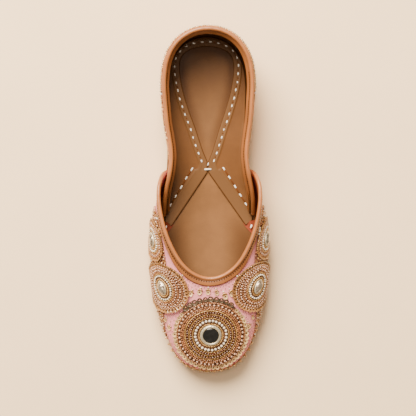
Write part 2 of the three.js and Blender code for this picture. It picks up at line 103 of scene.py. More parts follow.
OUTLINE_HALF = [
    0, 0.303, 0.554, 0.721, 0.786, 0.775, 0.752, 0.77, 0.877,
    0.982, 0.995, 0.94, 0.833, 0.7, 0.555, 0.33, 0,
]
VAMP_TABLE = {
    "away": [0, 0.1, 0.19, 0.27, 0.34, 0.405, 0.45, 0.484, 0.507, 0.525, 0.537, 0.546, 0.552],
    "half": [0, 0.196, 0.381, 0.538, 0.668, 0.794, 0.885, 0.937, 0.938, 0.9, 0.857, 0.814, 0.771],
    "along": [0.7325, 0.727, 0.711, 0.687, 0.655, 0.61, 0.56, 0.508, 0.465, 0.437, 0.423, 0.417, 0.414],
    "height": [0.913, 0.918, 0.937, 0.956, 0.976, 0.995, 1, 0.998, 0.962, 0.862, 0.69, 0.47, 0.22],
    "bulge": [0.235, 0.23, 0.225, 0.22, 0.215, 0.21, 0.205, 0.17, 0.12, 0.08, 0.05, 0.02, 0.005],
    "reach": [0.93, 0.84, 0.62, 0.43, 0.28, 0.16, 0.08, 0.03, 0, 0, 0, 0, 0],
    "rise": [0.5, 0.48, 0.47, 0.46, 0.45, 0.43, 0.41, 0.4, 0.4, 0.4, 0.4, 0.4, 0.4],
    "drop": [0.24, 0.25, 0.27, 0.3, 0.33, 0.33, 0.32, 0.3, 0.3, 0.3, 0.3, 0.3, 0.3],
}
QUARTER_TABLE = {
    "turn": [0, 0.07, 0.14, 0.21, 0.27, 0.325, 0.37, 0.41, 0.445, 0.472, 0.496, 0.512, 0.521],
    "flare": [0.078, 0.078, 0.078, 0.076, 0.073, 0.063, 0.05, 0.042, 0.05, 0.062, 0.055, 0.038, 0.026],
    "height": [1, 0.996, 0.977, 0.935, 0.885, 0.831, 0.788, 0.754, 0.715, 0.615, 0.48, 0.35, 0.26],
    "bulge": [0.06, 0.06, 0.058, 0.055, 0.05, 0.045, 0.035, 0.028, 0.026, 0.026, 0.02, 0.01, 0.005],
}
TEARDROP_TABLE = {
    "half": [0, 0.274, 0.454, 0.503, 0.444, 0.329, 0.217, 0.094, 0, 0],
    "along": [0.039, 0.046, 0.067, 0.105, 0.17, 0.233, 0.284, 0.346, 0.386, 0.414],
    "turn": [0, 0.1, 0.175, 0.225, 0.275, 0.32, 0.35, 0.385, 0.405, 0.425],
}
STRAP_END = {"half": 0.688, "along": 0.572, "turn": 0.533}
STRAP_STEPS = 3
TIE_ROW = len(TEARDROP_TABLE["half"]) - 1
YOKE_ROWS = TIE_ROW + STRAP_STEPS


def column_curve(values, odd=False):
    """A smooth curve through a column, read at row numbers; an odd column changes sign below 0."""
    ends = np.array([-values[1] if odd else values[1], *values, 2 * values[-1] - values[-2]], float)
    last = len(values) - 1

    def at(row):
        row = np.asarray(row, float)
        size = np.abs(row)
        start = np.minimum(np.floor(size), last - 1).astype(int)
        s = size - start
        a, b, c, d = (ends[start + step] for step in range(4))
        value = b + s * (c - a + s * (2 * a - 5 * b + 4 * c - d + s * (3 * (b - c) + d - a))) / 2
        return np.where(row < 0, -value, value) if odd else value

    return at


def smooth_step(start, end, value):
    share = np.clip((np.asarray(value, float) - start) / (end - start), 0, 1)
    return share * share * (3 - 2 * share)


def bump_at(value, centre, width):
    """A soft hump of height 1 at the centre, gone at about two widths from it."""
    return np.exp(-(((np.asarray(value, float) - centre) / width) ** 2))


def unit(vectors):
    return vectors / np.maximum(np.linalg.norm(vectors, axis=-1, keepdims=True), 1e-12)


def dot(a, b):
    return np.sum(a * b, axis=-1, keepdims=True)


def travel(points):
    """Distances along a polyline from its first point."""
    return np.concatenate([[0], np.cumsum(np.linalg.norm(np.diff(points, axis=0), axis=1))])


def with_height(points, height):
    points = points.copy()
    points[..., 2] = height
    return points


outline_half = column_curve(OUTLINE_HALF, odd=True)


def y_at(along):
    return SOLE_LENGTH * (0.5 - along)


def along_at(y):
    return 0.5 - y / SOLE_LENGTH


def outline_point(turn):
    """The sole's outline: turn is 0 at the back of the heel and 1 at the toe tip on the +X side."""
    turn = np.asarray(turn, float)
    side = np.where(turn > 1, turn - 2, turn)
    x = BALL_HALF * outline_half(side * (len(OUTLINE_HALF) - 1))
    return np.stack([x, y_at((1 - np.cos(np.pi * side)) / 2), np.zeros_like(x)], axis=-1)


def outline_outward(turn):
    along = unit(outline_point(turn + SLOPE_STEP) - outline_point(turn - SLOPE_STEP))
    return np.stack([-along[..., 1], along[..., 0], np.zeros_like(along[..., 0])], axis=-1)


def inset_point(turn, inset):
    turn = np.asarray(turn, float)
    return outline_point(turn) - outline_outward(turn) * np.asarray(inset, float)[..., None]


def spring_at(y):
    return TOE_SPRING * np.maximum(0, (along_at(y) - TOE_SPRING_START) / (1 - TOE_SPRING_START)) ** 2


def sole_bottom(y):
    share = np.clip((along_at(y) - FLAT_HEEL_END) / (BALL_START - FLAT_HEEL_END), 0, 1)
    return ARCH_RISE * np.sin(np.pi * share) ** 2 + spring_at(y)


def sole_top(y):
    forward = smooth_step(FLAT_HEEL_END, BALL_START, along_at(y))
    return SOLE_THICKNESS + HEEL_LIFT * (1 - forward) + spring_at(y)


def insole_bottom(y):
    return sole_top(y) + SEAM_GAP


def yoke_bottom(y):
    return insole_bottom(y) + INSOLE_THICKNESS + SEAM_GAP


def quarter_inset(turn):
    return SOLE_LEDGE + (VAMP_WALL + SEAM_GAP) * smooth_step(LAP_START, LAP_END, np.abs(turn))


def insole_inset(turn):
    wing = QUARTER_TABLE["turn"][-1]
    in_quarter = quarter_inset(turn) + QUARTER_WALL + 2 * SEAM_GAP
    in_vamp = SOLE_LEDGE + VAMP_WALL + 2 * SEAM_GAP
    return in_quarter + (in_vamp - in_quarter) * smooth_step(wing, wing + 0.05, np.abs(turn))


class Wall:
    """An upper's wall: around is -1 to 1 from its -X end to its +X end, up is 0 to 1 from foot to top edge."""

    def __init__(self, table, odd, profile, facing):
        self.curves = {name: column_curve(values, name in odd) for name, values in table.items()}
        self.rows = len(next(iter(table.values()))) - 1
        self.profile = profile
        self.facing = facing

    def outer(self, around, up):
        around, up = np.broadcast_arrays(np.asarray(around, float), np.asarray(up, float))
        row = {name: curve(around * self.rows) for name, curve in self.curves.items()}
        row = {name: value[..., None] for name, value in row.items()}
        row.update(self.profile({name: value[..., 0] for name, value in row.items()}))
        foot, top, outward = row["foot"], row["top"], row["outward"]
        lean = np.broadcast_to(row["lean"], around.shape)
        climb = (top - foot) * np.stack([lean, lean, np.ones_like(lean)], axis=-1)
        low = foot + outward * row["bulge"] * BALL_HALF + climb * row["rise"]
        high = top + outward * row["reach"] * BALL_HALF - climb * row["drop"]
        t = up[..., None]
        return foot * (1 - t) ** 3 + low * 3 * t * (1 - t) ** 2 + high * 3 * t**2 * (1 - t) + top * t**3

    def slopes(self, around, up):
        h = SLOPE_STEP
        along_around = (self.outer(around + h, up) - self.outer(around - h, up)) / (2 * h)
        along_up = (self.outer(around, up + h) - self.outer(around, up - h)) / (2 * h)
        return along_around, along_up

    def normal(self, around, up):
        along_around, along_up = self.slopes(around, up)
        return unit(np.cross(along_around, along_up) * self.facing)

    def point(self, around, up, offset=0.0):
        """A point off the outer face, outwards where the offset is positive. A foot moves level."""
        around, up, offset = np.broadcast_arrays(
            np.asarray(around, float), np.asarray(up, float), np.asarray(offset, float)
        )
        direction = self.normal(around, up)
        level = unit(direction * np.array([1, 1, 0]))
        direction = np.where((up <= 0)[..., None], level, direction)
        return self.outer(around, up) + direction * offset[..., None]

    def directions(self, around, up):
        """Unit directions at a place: level towards +around, up the profile, and out of the wall."""
        along_around, along_up = self.slopes(around, up)
        upward = unit(along_up)
        normal = self.normal(around, up)
        level = unit(np.cross(upward, normal))
        level = np.where(dot(level, along_around) < 0, -level, level)
        return level, upward, normal

    def walk(self, around, up, heading, distances):
        """Places reached at each distance on walking over the wall from each start in its direction."""
        around, up = np.array(around, float), np.array(up, float)
        heading = np.array(heading, float)
        travelled = 0.0
        reached = []

        def step_from(origin, at, length):
            along_around, along_up = self.slopes(*at)
            aa, ab, bb = (dot(p, q)[..., 0] for p, q in (
                (along_around, along_around), (along_around, along_up), (along_up, along_up)))
            ha = dot(heading, along_around)[..., 0] * length
            hb = dot(heading, along_up)[..., 0] * length
            size = aa * bb - ab * ab
            return origin[0] + (ha * bb - hb * ab) / size, origin[1] + (hb * aa - ha * ab) / size

        for distance in distances:
            while travelled < distance - 1e-9:
                step = min(WALK_STRIDE, distance - travelled)
                halfway = step_from((around, up), (around, up), step / 2)
                around, up = step_from((around, up), halfway, step)
                travelled += step
                normal = self.normal(around, up)
                heading = unit(heading - normal * dot(heading, normal))
            reached.append((around.copy(), up.copy()))
        return reached


def vamp_profile(row):
    foot = inset_point(1 - row["away"], np.full_like(row["away"], SOLE_LEDGE))
    foot = with_height(foot, insole_bottom(foot[..., 1]))
    top = np.stack([row["half"] * BALL_HALF, y_at(row["along"]), row["height"] * VAMP_HEIGHT], axis=-1)
    return {
        "foot": foot,
        "top": top,
        "outward": outline_outward(1 - row["away"]),
        "lean": smooth_step(LEAN_START, LEAN_END, np.abs(row["away"])),
    }


def quarter_profile(row):
    foot = inset_point(row["turn"], quarter_inset(row["turn"]))
    foot = with_height(foot, insole_bottom(foot[..., 1]))
    outward = outline_outward(row["turn"])
    top = foot + outward * (row["flare"] * BALL_HALF)[..., None]
    top = with_height(top, row["height"] * HEEL_HEIGHT)
    return {
        "foot": foot, "top": top, "outward": outward,
        "rise": QUARTER_RISE, "reach": 0.0, "drop": QUARTER_RISE, "lean": 0.0,
    }


vamp = Wall(VAMP_TABLE, ("away", "half"), vamp_profile, 1)
quarter = Wall(QUARTER_TABLE, ("turn",), quarter_profile, -1)


# Meshes.

def grid_faces(rows, columns, first=0, wrap=False):
    """Quads of a grid of points laid out row by row. With wrap, the last column joins the first."""
    i = np.arange(rows - 1)[:, None]
    j = np.arange(columns if wrap else columns - 1)[None, :]
    beside = (j + 1) % columns
    here, above = i * columns, (i + 1) * columns
    corners = np.broadcast_arrays(here + j, here + beside, above + beside, above + j)
    return first + np.stack(corners, axis=-1).reshape(-1, 4)


def plate(outer, inner):
    """Points and faces of a closed sheet between two grids of points."""
    rows, columns = outer.shape[:2]
    size = rows * columns
    faces = [grid_faces(rows, columns), grid_faces(rows, columns, size)[:, ::-1]]
    i, j = np.arange(rows), np.arange(columns)
    rim = np.concatenate([
        j, i[1:] * columns + columns - 1, (rows - 1) * columns + j[-2::-1], i[-2:0:-1] * columns])
    beside = np.roll(rim, -1)
    faces.append(np.stack([rim, rim + size, beside + size, beside], axis=-1))
    return np.concatenate([outer.reshape(-1, 3), inner.reshape(-1, 3)]), np.concatenate(faces)


def tube(sections, ends=None):
    """Points and faces of a closed bar whose sections are rings of points, with a fan over each end."""
    rows, columns = sections.shape[:2]
    ends = sections[[0, -1]].mean(axis=1) if ends is None else ends
    faces = grid_faces(rows, columns, wrap=True).tolist()
    first, last, last_row = rows * columns, rows * columns + 1, (rows - 1) * columns
    for j in range(columns):
        beside = (j + 1) % columns
        faces += [[first, beside, j], [last, last_row + j, last_row + beside]]
    return np.concatenate([sections.reshape(-1, 3), ends]), faces


def signed_volume(points, faces):
    fans = [(face[0], b, c) for face in faces for b, c in zip(face[1:-1], face[2:])]
    a, b, c = (points[corner] for corner in np.array(fans).T)
    return float(np.sum(a * np.cross(b, c)))


def build_mesh(name, points, faces, finish, smooth=True, sharp=40, uv=None, marks=None, closed=True):
    """A mesh whose faces point outwards. marks are numbers for each point that its material reads."""
    points = np.asarray(points, float).reshape(-1, 3)
    faces = [[int(corner) for corner in face] for face in faces]
    if closed and signed_volume(points, faces) < 0:
        faces = [face[::-1] for face in faces]
    mesh = bpy.data.meshes.new(name)
    mesh.from_pydata(points.tolist(), [], faces)
    if smooth:
        mesh.shade_smooth()
        mesh.set_sharp_from_angle(angle=math.radians(sharp))
    if uv is not None:
        corners = np.zeros(len(mesh.loops), int)
        mesh.loops.foreach_get("vertex_index", corners)
        layer = mesh.uv_layers.new(name="UVMap")
        layer.data.foreach_set("uv", np.asarray(uv, float).reshape(-1, 2)[corners].ravel())
    for mark, values in (marks or {}).items():
        attribute = mesh.attributes.new(mark, "FLOAT", "POINT")
        attribute.data.foreach_set("value", np.asarray(values, np.float32).ravel())
    if finish is not None:
        mesh.materials.append(finish)
    mesh.validate()
    return mesh


def add_object(name, mesh):
    piece = bpy.data.objects.new(name, mesh)
    bpy.context.scene.collection.objects.link(piece)
    return piece


def add_piece(name, points, faces, finish, slot, stands_for=(), **options):
    """Adds a piece of the shoe, in the frame, and says which solids it stands for."""
    points = np.asarray(points, float).reshape(-1, 3) + np.array([0, ALONG_SHIFT, 0])
    return settle(add_object(name, build_mesh(name, points, faces, finish, **options)), stands_for)


def settle(piece, stands_for=()):
    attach(piece, "root")
    if stands_for:
        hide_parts(*stands_for)
    return piece


# Finishes.

def add_node(tree, kind, inputs, output=0, **settings):
    """Adds a node, sets or links its inputs, and gives one of its outputs."""
    node = tree.nodes.new(kind)
    for name, value in settings.items():
        setattr(node, name, value)
    for socket, value in inputs.items():
        set_input(tree, node.inputs[socket], value)
    return node.outputs[output]


def set_input(tree, socket, value):
    if isinstance(value, bpy.types.NodeSocket):
        tree.links.new(value, socket)
    elif hasattr(value, "__len__") and socket.type == "RGBA":
        socket.default_value = (*tuple(value)[:3], 1.0)
    else:
        socket.default_value = value


class Finish:
    """Builds the nodes of one material. Plain numbers and colours go straight to the shader's sockets."""

    def __init__(self, name, **constants):
        self.material = bpy.data.materials.new(name)
        self.material.use_nodes = True
        self.tree = self.material.node_tree
        self.tree.nodes.clear()
        self.shader = self.tree.nodes.new("ShaderNodeBsdfPrincipled")
        output = self.tree.nodes.new("ShaderNodeOutputMaterial")
        self.tree.links.new(self.shader.outputs["BSDF"], output.inputs["Surface"])
        for socket, value in constants.items():
            set_input(self.tree, self.shader.inputs[socket.replace("_", " ")], value)
        self.place = self.tree.nodes.new("ShaderNodeTexCoord").outputs["Object"]

    def node(self, kind, inputs, output=0, **settings):
        return add_node(self.tree, kind, inputs, output, **settings)

    def noise(self, size, detail=2.0, rough=0.5, stretch=(1, 1, 1), place=None, shift=(0, 0, 0)):
        """Noise whose grains are about size across, in metres."""
        vector = self.node(
            "ShaderNodeMapping", {"Vector": place or self.place, "Scale": stretch, "Location": shift})
        return self.node("ShaderNodeTexNoise", {
            "Vector": vector, "Scale": 1 / size, "Detail": detail, "Roughness": rough})

    def pores(self, size):
        """Distance from the middles of pebbles about size across."""
        return self.node("ShaderNodeTexVoronoi", {"Vector": self.place, "Scale": 1 / size}, "Distance")

    def math(self, operation, a, b=0.0):
        return self.node("ShaderNodeMath", {0: a, 1: b}, operation=operation)

    def blend(self, a, share_a, b, share_b):
        """A weighted sum of two values."""
        return self.math("ADD", self.math("MULTIPLY", a, share_a), self.math("MULTIPLY", b, share_b))

    def ramp(self, value, start, end, low=0.0, high=1.0):
        """value between start and end taken smoothly to between low and high."""
        return self.node(
            "ShaderNodeMapRange",
            {"Value": value, "From Min": start, "From Max": end, "To Min": low, "To Max": high},
            interpolation_type="SMOOTHSTEP",
        )

    def mix(self, share, a, b):
        return self.node("ShaderNodeMix", {0: share, 6: a, 7: b}, 2, data_type="RGBA")

    def mottle(self, value, start, end, colour, dark, pale):
        """A colour that goes from a darker to a paler shade of itself with a value."""
        return self.mix(self.ramp(value, start, end), shade(colour, dark), shade(colour, pale))

    def mark(self, name):
        return self.node("ShaderNodeAttribute", {}, "Fac", attribute_name=name)

    def uv(self):
        return self.node("ShaderNodeUVMap", {}, uv_map="UVMap")

    def bump(self, height, depth, strength):
        return self.node("ShaderNodeBump", {"Height": height, "Distance": depth, "Strength": strength})

    def paint(self, colour=None, roughness=None, normal=None):
        for socket, value in (("Base Color", colour), ("Roughness", roughness), ("Normal", normal)):
            if value is not None:
                set_input(self.tree, self.shader.inputs[socket], value)
        return self.material


def shade(colour, factor):
    return tuple(min(1.0, channel * factor) for channel in tuple(colour)[:3])


def leather_finish(name, colour, grain=0.5 * MM, roughness=(0.42, 0.56), streaks=0.25, wear=None, burnish=None):
    """Dyed leather: pebbled grain with painted shade in its grooves, a mottled dye, faint scuffs, and wear, dark
    burnishing and painted shade by their marks.
    """
    finish = Finish(name, Coat_Roughness=0.35, Specular_IOR_Level=0.12)
    mottle = finish.noise(22 * MM, detail=3, rough=0.55)
    dye = finish.mottle(mottle, 0.3, 0.72, colour, 0.86, 1.1)
    pores = finish.pores(grain)
    fine = finish.noise(grain * 0.45)
    # Painted shade: the grooves between the pebbles, where the bump sinks, are darkened.
    dye = finish.mix(finish.ramp(pores, 0.55, 0.95, 0, 0.22), dye, shade(colour, 0.6))
    scuffs = finish.noise(3 * MM, detail=4, rough=0.65, stretch=(3.2, 0.6, 1), shift=(0.3, 0.1, 0))
    scuffed = finish.ramp(scuffs, 0.6, 0.78, 0, streaks)
    dye = finish.mix(scuffed, dye, shade(colour, 1.35))
    # The second mark paints dark burnishing together with painted shade where shade falls on the piece.
    for mark, tone in (("wear", wear), ("burnish", burnish)):
        if tone is not None:
            dye = finish.mix(finish.mark(mark), dye, tone)
    bump = finish.bump(finish.blend(pores, -0.8, fine, 0.5), 0.07 * MM, 0.55)
    shine = finish.math("ADD", finish.ramp(mottle, 0.25, 0.75, *roughness), finish.math("MULTIPLY", scuffed, 0.3))
    return finish.paint(dye, shine, bump)


def cloth_finish(name, colour, pitch, worked):
    """Plain woven silk-cotton along the wall's own lines, with painted shade between its threads, slubs, a soft
    sheen and a couched ground.
    """
    finish = Finish(name, Sheen_Weight=0.1, Sheen_Roughness=0.4, Specular_IOR_Level=0.15)
    spread = finish.node("ShaderNodeSeparateXYZ", {"Vector": finish.uv()})
    parts = spread.node
    lines = [finish.math("MULTIPLY", parts.outputs[axis], math.pi / pitch) for axis in (0, 1)]
    waves = [finish.math("ABSOLUTE", finish.math("SINE", line)) for line in lines]
    over = finish.math("GREATER_THAN", finish.math("SINE", lines[0]), 0.0)
    across = finish.math("GREATER_THAN", finish.math("SINE", lines[1]), 0.0)
    checks = finish.math("ABSOLUTE", finish.math("SUBTRACT", over, across))
    ends, picks = finish.math("MULTIPLY", waves[0], checks), finish.math("MULTIPLY", waves[1], 0.8)
    weave = finish.math("MAXIMUM", ends, picks)
    slubs = finish.noise(0.9 * MM, stretch=(0.3, 2, 1))
    dye = finish.mottle(finish.noise(14 * MM, detail=4), 0.3, 0.7, colour, 0.9, 1.07)
    # Painted shade: the gaps between the threads, where the weave sinks, are darkened.
    dye = finish.mix(finish.ramp(weave, 0.1, 0.9, 0.35, 0), dye, shade(colour, 0.72))
    dye = finish.mix(finish.ramp(slubs, 0.62, 0.8, 0, 0.35), dye, shade(colour, 1.25))
    laid = finish.mottle(finish.noise(1.1 * MM, detail=3), 0.35, 0.7, worked, 0.6, 1.7)
    dye = finish.mix(finish.mark("worked"), dye, laid)
    height = finish.math("ADD", weave, finish.math("MULTIPLY", slubs, 0.6))
    return finish.paint(dye, finish.ramp(slubs, 0.3, 0.8, 0.62, 0.85), finish.bump(height, 0.09 * MM, 0.8))


def bead_finish(name, colour, spread=0.3, metal=0.0, roughness=0.2, coat=0.6, glow=0.0):
    """Glass, pearl or plated beads: each has its own tint, and dust and wear dull it here and there."""
    finish = Finish(
        name, Metallic=metal, Coat_Weight=coat, Coat_Roughness=0.12,
        Subsurface_Weight=glow, Subsurface_Radius=(1, 0.6, 0.4), Subsurface_Scale=0.6 * MM)
    tint = finish.mix(finish.mark("tint"), shade(colour, 1 - spread), shade(colour, 1 + spread * 0.8))
    dust = finish.noise(2.2 * MM, detail=3)
    tint = finish.mix(finish.ramp(dust, 0.5, 0.75, 0, 0.3), tint, shade(colour, 0.62))
    shine = finish.ramp(dust, 0.3, 0.8, roughness, roughness + 0.22)
    return finish.paint(tint, shine, finish.bump(finish.noise(0.35 * MM), 0.03 * MM, 0.5))


def thread_finish(name, colour, sheen=0.3):
    """Twisted cotton: slanting plies along the stitch with painted shade between them, and a little soil."""
    finish = Finish(name, Sheen_Weight=sheen, Specular_IOR_Level=0.2 * (sheen > 0))
    plies = finish.node("ShaderNodeTexWave", {
        "Vector": finish.place, "Scale": 0.3 / PLY_PITCH, "Distortion": 1.2, "Detail": 1.0,
    }, "Fac", bands_direction="DIAGONAL")
    soil = finish.noise(5 * MM, detail=3)
    dye = finish.mottle(soil, 0.35, 0.75, colour, 1.04, 0.84)
    # Painted shade: the grooves between the plies are darkened.
    dye = finish.mix(finish.ramp(plies, 0.0, 0.4, 0.3, 0), dye, shade(colour, 0.7))
    return finish.paint(dye, finish.ramp(soil, 0.3, 0.7, 0.7, 0.85), finish.bump(plies, 0.08 * MM, 0.7))


# Beads, sequins and stitches: one shape set on each point of a list, turned to sit on what carries it.

class Rows:
    """Collects points for one kind of bead or stitch."""

    def __init__(self, seed):
        self.places, self.facings, self.alongs, self.sizes, self.tints = [], [], [], [], []
        self.random = np.random.default_rng(seed)

    def add(self, places, facings, alongs, size, tint=None, jitter=0.0, vary=0.05):
        """size is one number, or three: along the row, across it and out of the surface, in metres."""
        places = np.asarray(places, float).reshape(-1, 3)
        count = len(places)
        facings = unit(np.broadcast_to(facings, (count, 3)))
        alongs = unit(np.broadcast_to(alongs, (count, 3)))
        sizes = np.broadcast_to(size if np.ndim(size) else np.full(3, size), (count, 3))
        sizes = sizes * (1 + vary * self.random.uniform(-1, 1, (count, 1)))
        wander = self.random.uniform(-1, 1, (count, 3)) * jitter
        self.places.append(places + wander - facings * dot(wander, facings))
        self.facings.append(facings)
        self.alongs.append(alongs)
        self.sizes.append(sizes)
        tints = self.random.uniform(0, 1, count) if tint is None else np.full(count, tint)
        self.tints.append(tints)


def strewing_tree():
    """The node tree that sets a shape on each point, with its size, its variation and its finish named."""
    tree = bpy.data.node_groups.get("set_on_points")
    if tree:
        return tree
    tree = bpy.data.node_groups.new("set_on_points", "GeometryNodeTree")
    for name, kind in (
        ("Geometry", "Geometry"), ("Shape", "Object"), ("Size", "Float"), ("Size variation", "Float"),
        ("Seed", "Int"), ("Finish", "Material"),
    ):
        tree.interface.new_socket(name, in_out="INPUT", socket_type="NodeSocket" + kind)
    tree.interface.new_socket("Geometry", in_out="OUTPUT", socket_type="NodeSocketGeometry")
    given = tree.nodes.new("NodeGroupInput").outputs

    def read(name):
        return add_node(tree, "GeometryNodeInputNamedAttribute", {"Name": name}, data_type="FLOAT_VECTOR")

    upright = add_node(tree, "FunctionNodeAlignRotationToVector", {"Vector": read("facing")}, axis="Z")
    turned = add_node(
        tree, "FunctionNodeAlignRotationToVector", {"Rotation": upright, "Vector": read("along")},
        axis="X", pivot_axis="Z")
    least, most = (
        add_node(tree, "ShaderNodeMath", {0: 1.0, 1: given["Size variation"]}, operation=operation)
        for operation in ("SUBTRACT", "ADD"))
    drawn = add_node(
        tree, "FunctionNodeRandomValue", {2: least, 3: most, "Seed": given["Seed"]}, 1, data_type="FLOAT")
    factor = add_node(tree, "ShaderNodeMath", {0: drawn, 1: given["Size"]}, operation="MULTIPLY")
    scale = add_node(tree, "ShaderNodeVectorMath", {0: read("stretch"), "Scale": factor}, operation="SCALE")
    shape = add_node(tree, "GeometryNodeObjectInfo", {"Object": given["Shape"]}, "Geometry")
    copies = add_node(tree, "GeometryNodeInstanceOnPoints", {
        "Points": given["Geometry"], "Instance": shape, "Rotation": turned, "Scale": scale})
    real = add_node(tree, "GeometryNodeRealizeInstances", {"Geometry": copies})
    finished = add_node(tree, "GeometryNodeSetMaterial", {"Geometry": real, "Material": given["Finish"]})
    tree.links.new(finished, tree.nodes.new("NodeGroupOutput").inputs["Geometry"])
    return tree


def strew(name, rows, shape, finish):
    """Makes one plain mesh of a kind of bead or stitch from its collected rows."""
    places = np.concatenate(rows.places) + np.array([0, ALONG_SHIFT, 0])
    mesh = bpy.data.meshes.new(name)
    mesh.from_pydata(places.tolist(), [], [])
    directions = {"facing": rows.facings, "along": rows.alongs, "stretch": rows.sizes}
    for mark, values in directions.items():
        attribute = mesh.attributes.new(mark, "FLOAT_VECTOR", "POINT")
        attribute.data.foreach_set("vector", np.concatenate(values).astype(np.float32).ravel())
    tint = mesh.attributes.new("tint", "FLOAT", "POINT")
    tint.data.foreach_set("value", np.concatenate(rows.tints).astype(np.float32))
    piece = add_object(name, mesh)
    tree = strewing_tree()
    modifier = piece.modifiers.new("set_on_points", "NODES")
    modifier.node_group = tree
    given = {item.name: item.identifier for item in tree.interface.items_tree if item.in_out == "INPUT"}
    values = {
        "Shape": SHAPES[shape], "Size": 1.0, "Size variation": SIZE_VARIATION, "Seed": SIZE_SEED,
        "Finish": finish,
    }
    for label, value in values.items():
        modifier[given[label]] = value
    bpy.context.view_layer.update()
    graph = bpy.context.evaluated_depsgraph_get()
    made = bpy.data.meshes.new_from_object(
        piece.evaluated_get(graph), preserve_all_data_layers=True, depsgraph=graph)
    piece.modifiers.clear()
    piece.data = made
    for mark in directions:
        if mark in made.attributes:
            made.attributes.remove(made.attributes[mark])
    bpy.data.meshes.remove(mesh)
    made.name = name
    return settle(piece)


def lathe(profile, segments):
    """Points and faces of a turned shape about Z; its profile starts and ends on the axis or closes on itself."""
    angles = np.arange(segments) * 2 * np.pi / segments
    out, up = np.array(profile, float).T
    rings = np.stack([
        out[:, None] * np.cos(angles), out[:, None] * np.sin(angles),
        np.broadcast_to(up[:, None], (len(out), segments))], axis=-1)
    return rings.reshape(-1, 3), grid_faces(len(out), segments, wrap=True)


def shape_object(name, points, faces, sharp=60):
    """A shape that is only copied onto points, and is taken away before the end."""
    merged, index = np.unique(np.asarray(points, float).round(7), axis=0, return_inverse=True)
    index = index.ravel()
    faces = [list(dict.fromkeys(int(index[corner]) for corner in face)) for face in faces]
    whole = [face for face in faces if len(face) > 2]
    return add_object(name, build_mesh(name, merged, whole, None, sharp=sharp))


# Half sections of the sequin and of the seed bead: out from the axis and along it, one unit wide.
SEQUIN_SECTION = [(0.2, 0.03), (0.34, 0.0), (0.5, 0.12), (0.5, 0.17), (0.34, 0.09), (0.2, 0.1), (0.2, 0.03)]
SEED_SECTION = [(0.12, -0.4), (0.38, -0.4), (0.5, -0.12), (0.5, 0.12), (0.38, 0.4), (0.12, 0.4), (0.12, -0.4)]
STITCH_RINGS, STITCH_SIDES = 8, 7


def make_shapes():
    """The few shapes that are repeated. A seed bead's hole runs along X, and so does a stitch, its ends sunk."""
    half_circle = [(0.5 * np.cos(a), 0.5 * np.sin(a)) for a in np.linspace(-np.pi / 2, np.pi / 2, 6)]
    seed, seed_faces = lathe(SEED_SECTION, 7)
    stations = np.linspace(-0.5, 0.5, STITCH_RINGS)[:, None]
    widths = 0.5 * np.clip(1 - (np.abs(stations) * 2) ** 3.4, 0.0, 1) ** 0.5
    sag = -0.55 * (np.abs(stations) * 2) ** 3
    angles = np.arange(STITCH_SIDES) * 2 * np.pi / STITCH_SIDES
    stitch = np.stack(
        np.broadcast_arrays(stations, widths * np.cos(angles), sag + widths * np.sin(angles)), axis=-1)
    shapes = {
        "ball": lathe(half_circle, 8),
        "sequin": lathe(SEQUIN_SECTION, 12),
        "seed": (seed[:, [2, 0, 1]], seed_faces),
        "stitch": (stitch.reshape(-1, 3), grid_faces(STITCH_RINGS, STITCH_SIDES, wrap=True)),
    }
    return {name: shape_object("shape_" + name, *made) for name, made in shapes.items()}


# Sizes and colours that a user would change.

def colour_property(name, description, default):
    return bpy.props.FloatVectorProperty(
        name=name, description=description, default=default, subtype="COLOR", size=3, min=0.0, max=1.0)


def length_property(name, description, default):
    return bpy.props.FloatProperty(
        name=name, description=description, default=default, unit="LENGTH", subtype="DISTANCE", min=0.0)


class MojariLeather(bpy.types.PropertyGroup):
    insole: colour_property("Insole", "Tan leather under the foot", (0.18, 0.082, 0.029))
    yoke: colour_property("Yoke", "Leather strip round the teardrop opening", (0.124, 0.057, 0.02))
    lining: colour_property("Lining", "Leather inside the heel cup", (0.118, 0.047, 0.013))
    binding: colour_property("Binding", "Rolled topline leather", (0.345, 0.121, 0.034))
    vamp_lining: colour_property("Vamp lining", "Red-brown leather inside the vamp", (0.20, 0.04, 0.018))
    sole: colour_property("Sole", "Stacked sole leather", (0.20, 0.085, 0.03))
    # This dark colour is painted shade as well as burnishing: the insole's heel and throat, the yoke's edges and
    # the heel cup's lining take it where shade falls.
    burnish: colour_property("Burnish", "Dark edges and seat of the leather", (0.055, 0.018, 0.002))
    grain: length_property("Grain", "Size of the leather's pebbles", 0.5 * MM)


class MojariCloth(bpy.types.PropertyGroup):
    worked: colour_property("Worked ground", "Gold-brown couching under the bead ground", (0.22, 0.09, 0.03))
    colour: colour_property("Cloth", "Pink silk-cotton of the upper", (0.84, 0.30, 0.33))
    pitch: length_property("Thread pitch", "Distance between the cloth's threads", 0.38 * MM)


class MojariBeads(bpy.types.PropertyGroup):
    gold: colour_property("Gold", "Plated seed beads", (0.50, 0.27, 0.08))
    pearl: colour_property("Pearl", "White pearls", (0.64, 0.54, 0.42))
    blush: colour_property("Blush", "Pink pearls", (0.46, 0.26, 0.165))
    coral: colour_property("Coral", "Coral seed beads", (0.33, 0.13, 0.05))
    rose: colour_property("Rose", "Brown-rose glass beads", (0.12, 0.042, 0.016))
    sequin: colour_property("Sequin", "Pale gold sequins", (0.76, 0.50, 0.21))
    bronze: colour_property("Bronze", "Dark sequins on the instep side", (0.17, 0.12, 0.07))
    amber: colour_property("Amber", "Translucent gold-brown sequins", (0.31, 0.14, 0.042))
    seed_width: length_property("Seed bead", "Width of a seed bead", 1.35 * MM)
    pearl_width: length_property("Pearl size", "Width of a pearl", 2.05 * MM)
    sequin_width: length_property("Sequin size", "Width of a sequin", 3.2 * MM)


class MojariJewels(bpy.types.PropertyGroup):
    glass: colour_property("Mirror", "Dark mirror glass", (0.07, 0.066, 0.06))
    rim: colour_property("Rim", "Pale metal round the mirror and stones", (0.6, 0.52, 0.36))
    crystal: colour_property("Crystal", "Foil-backed glass stones", (0.50, 0.42, 0.30))


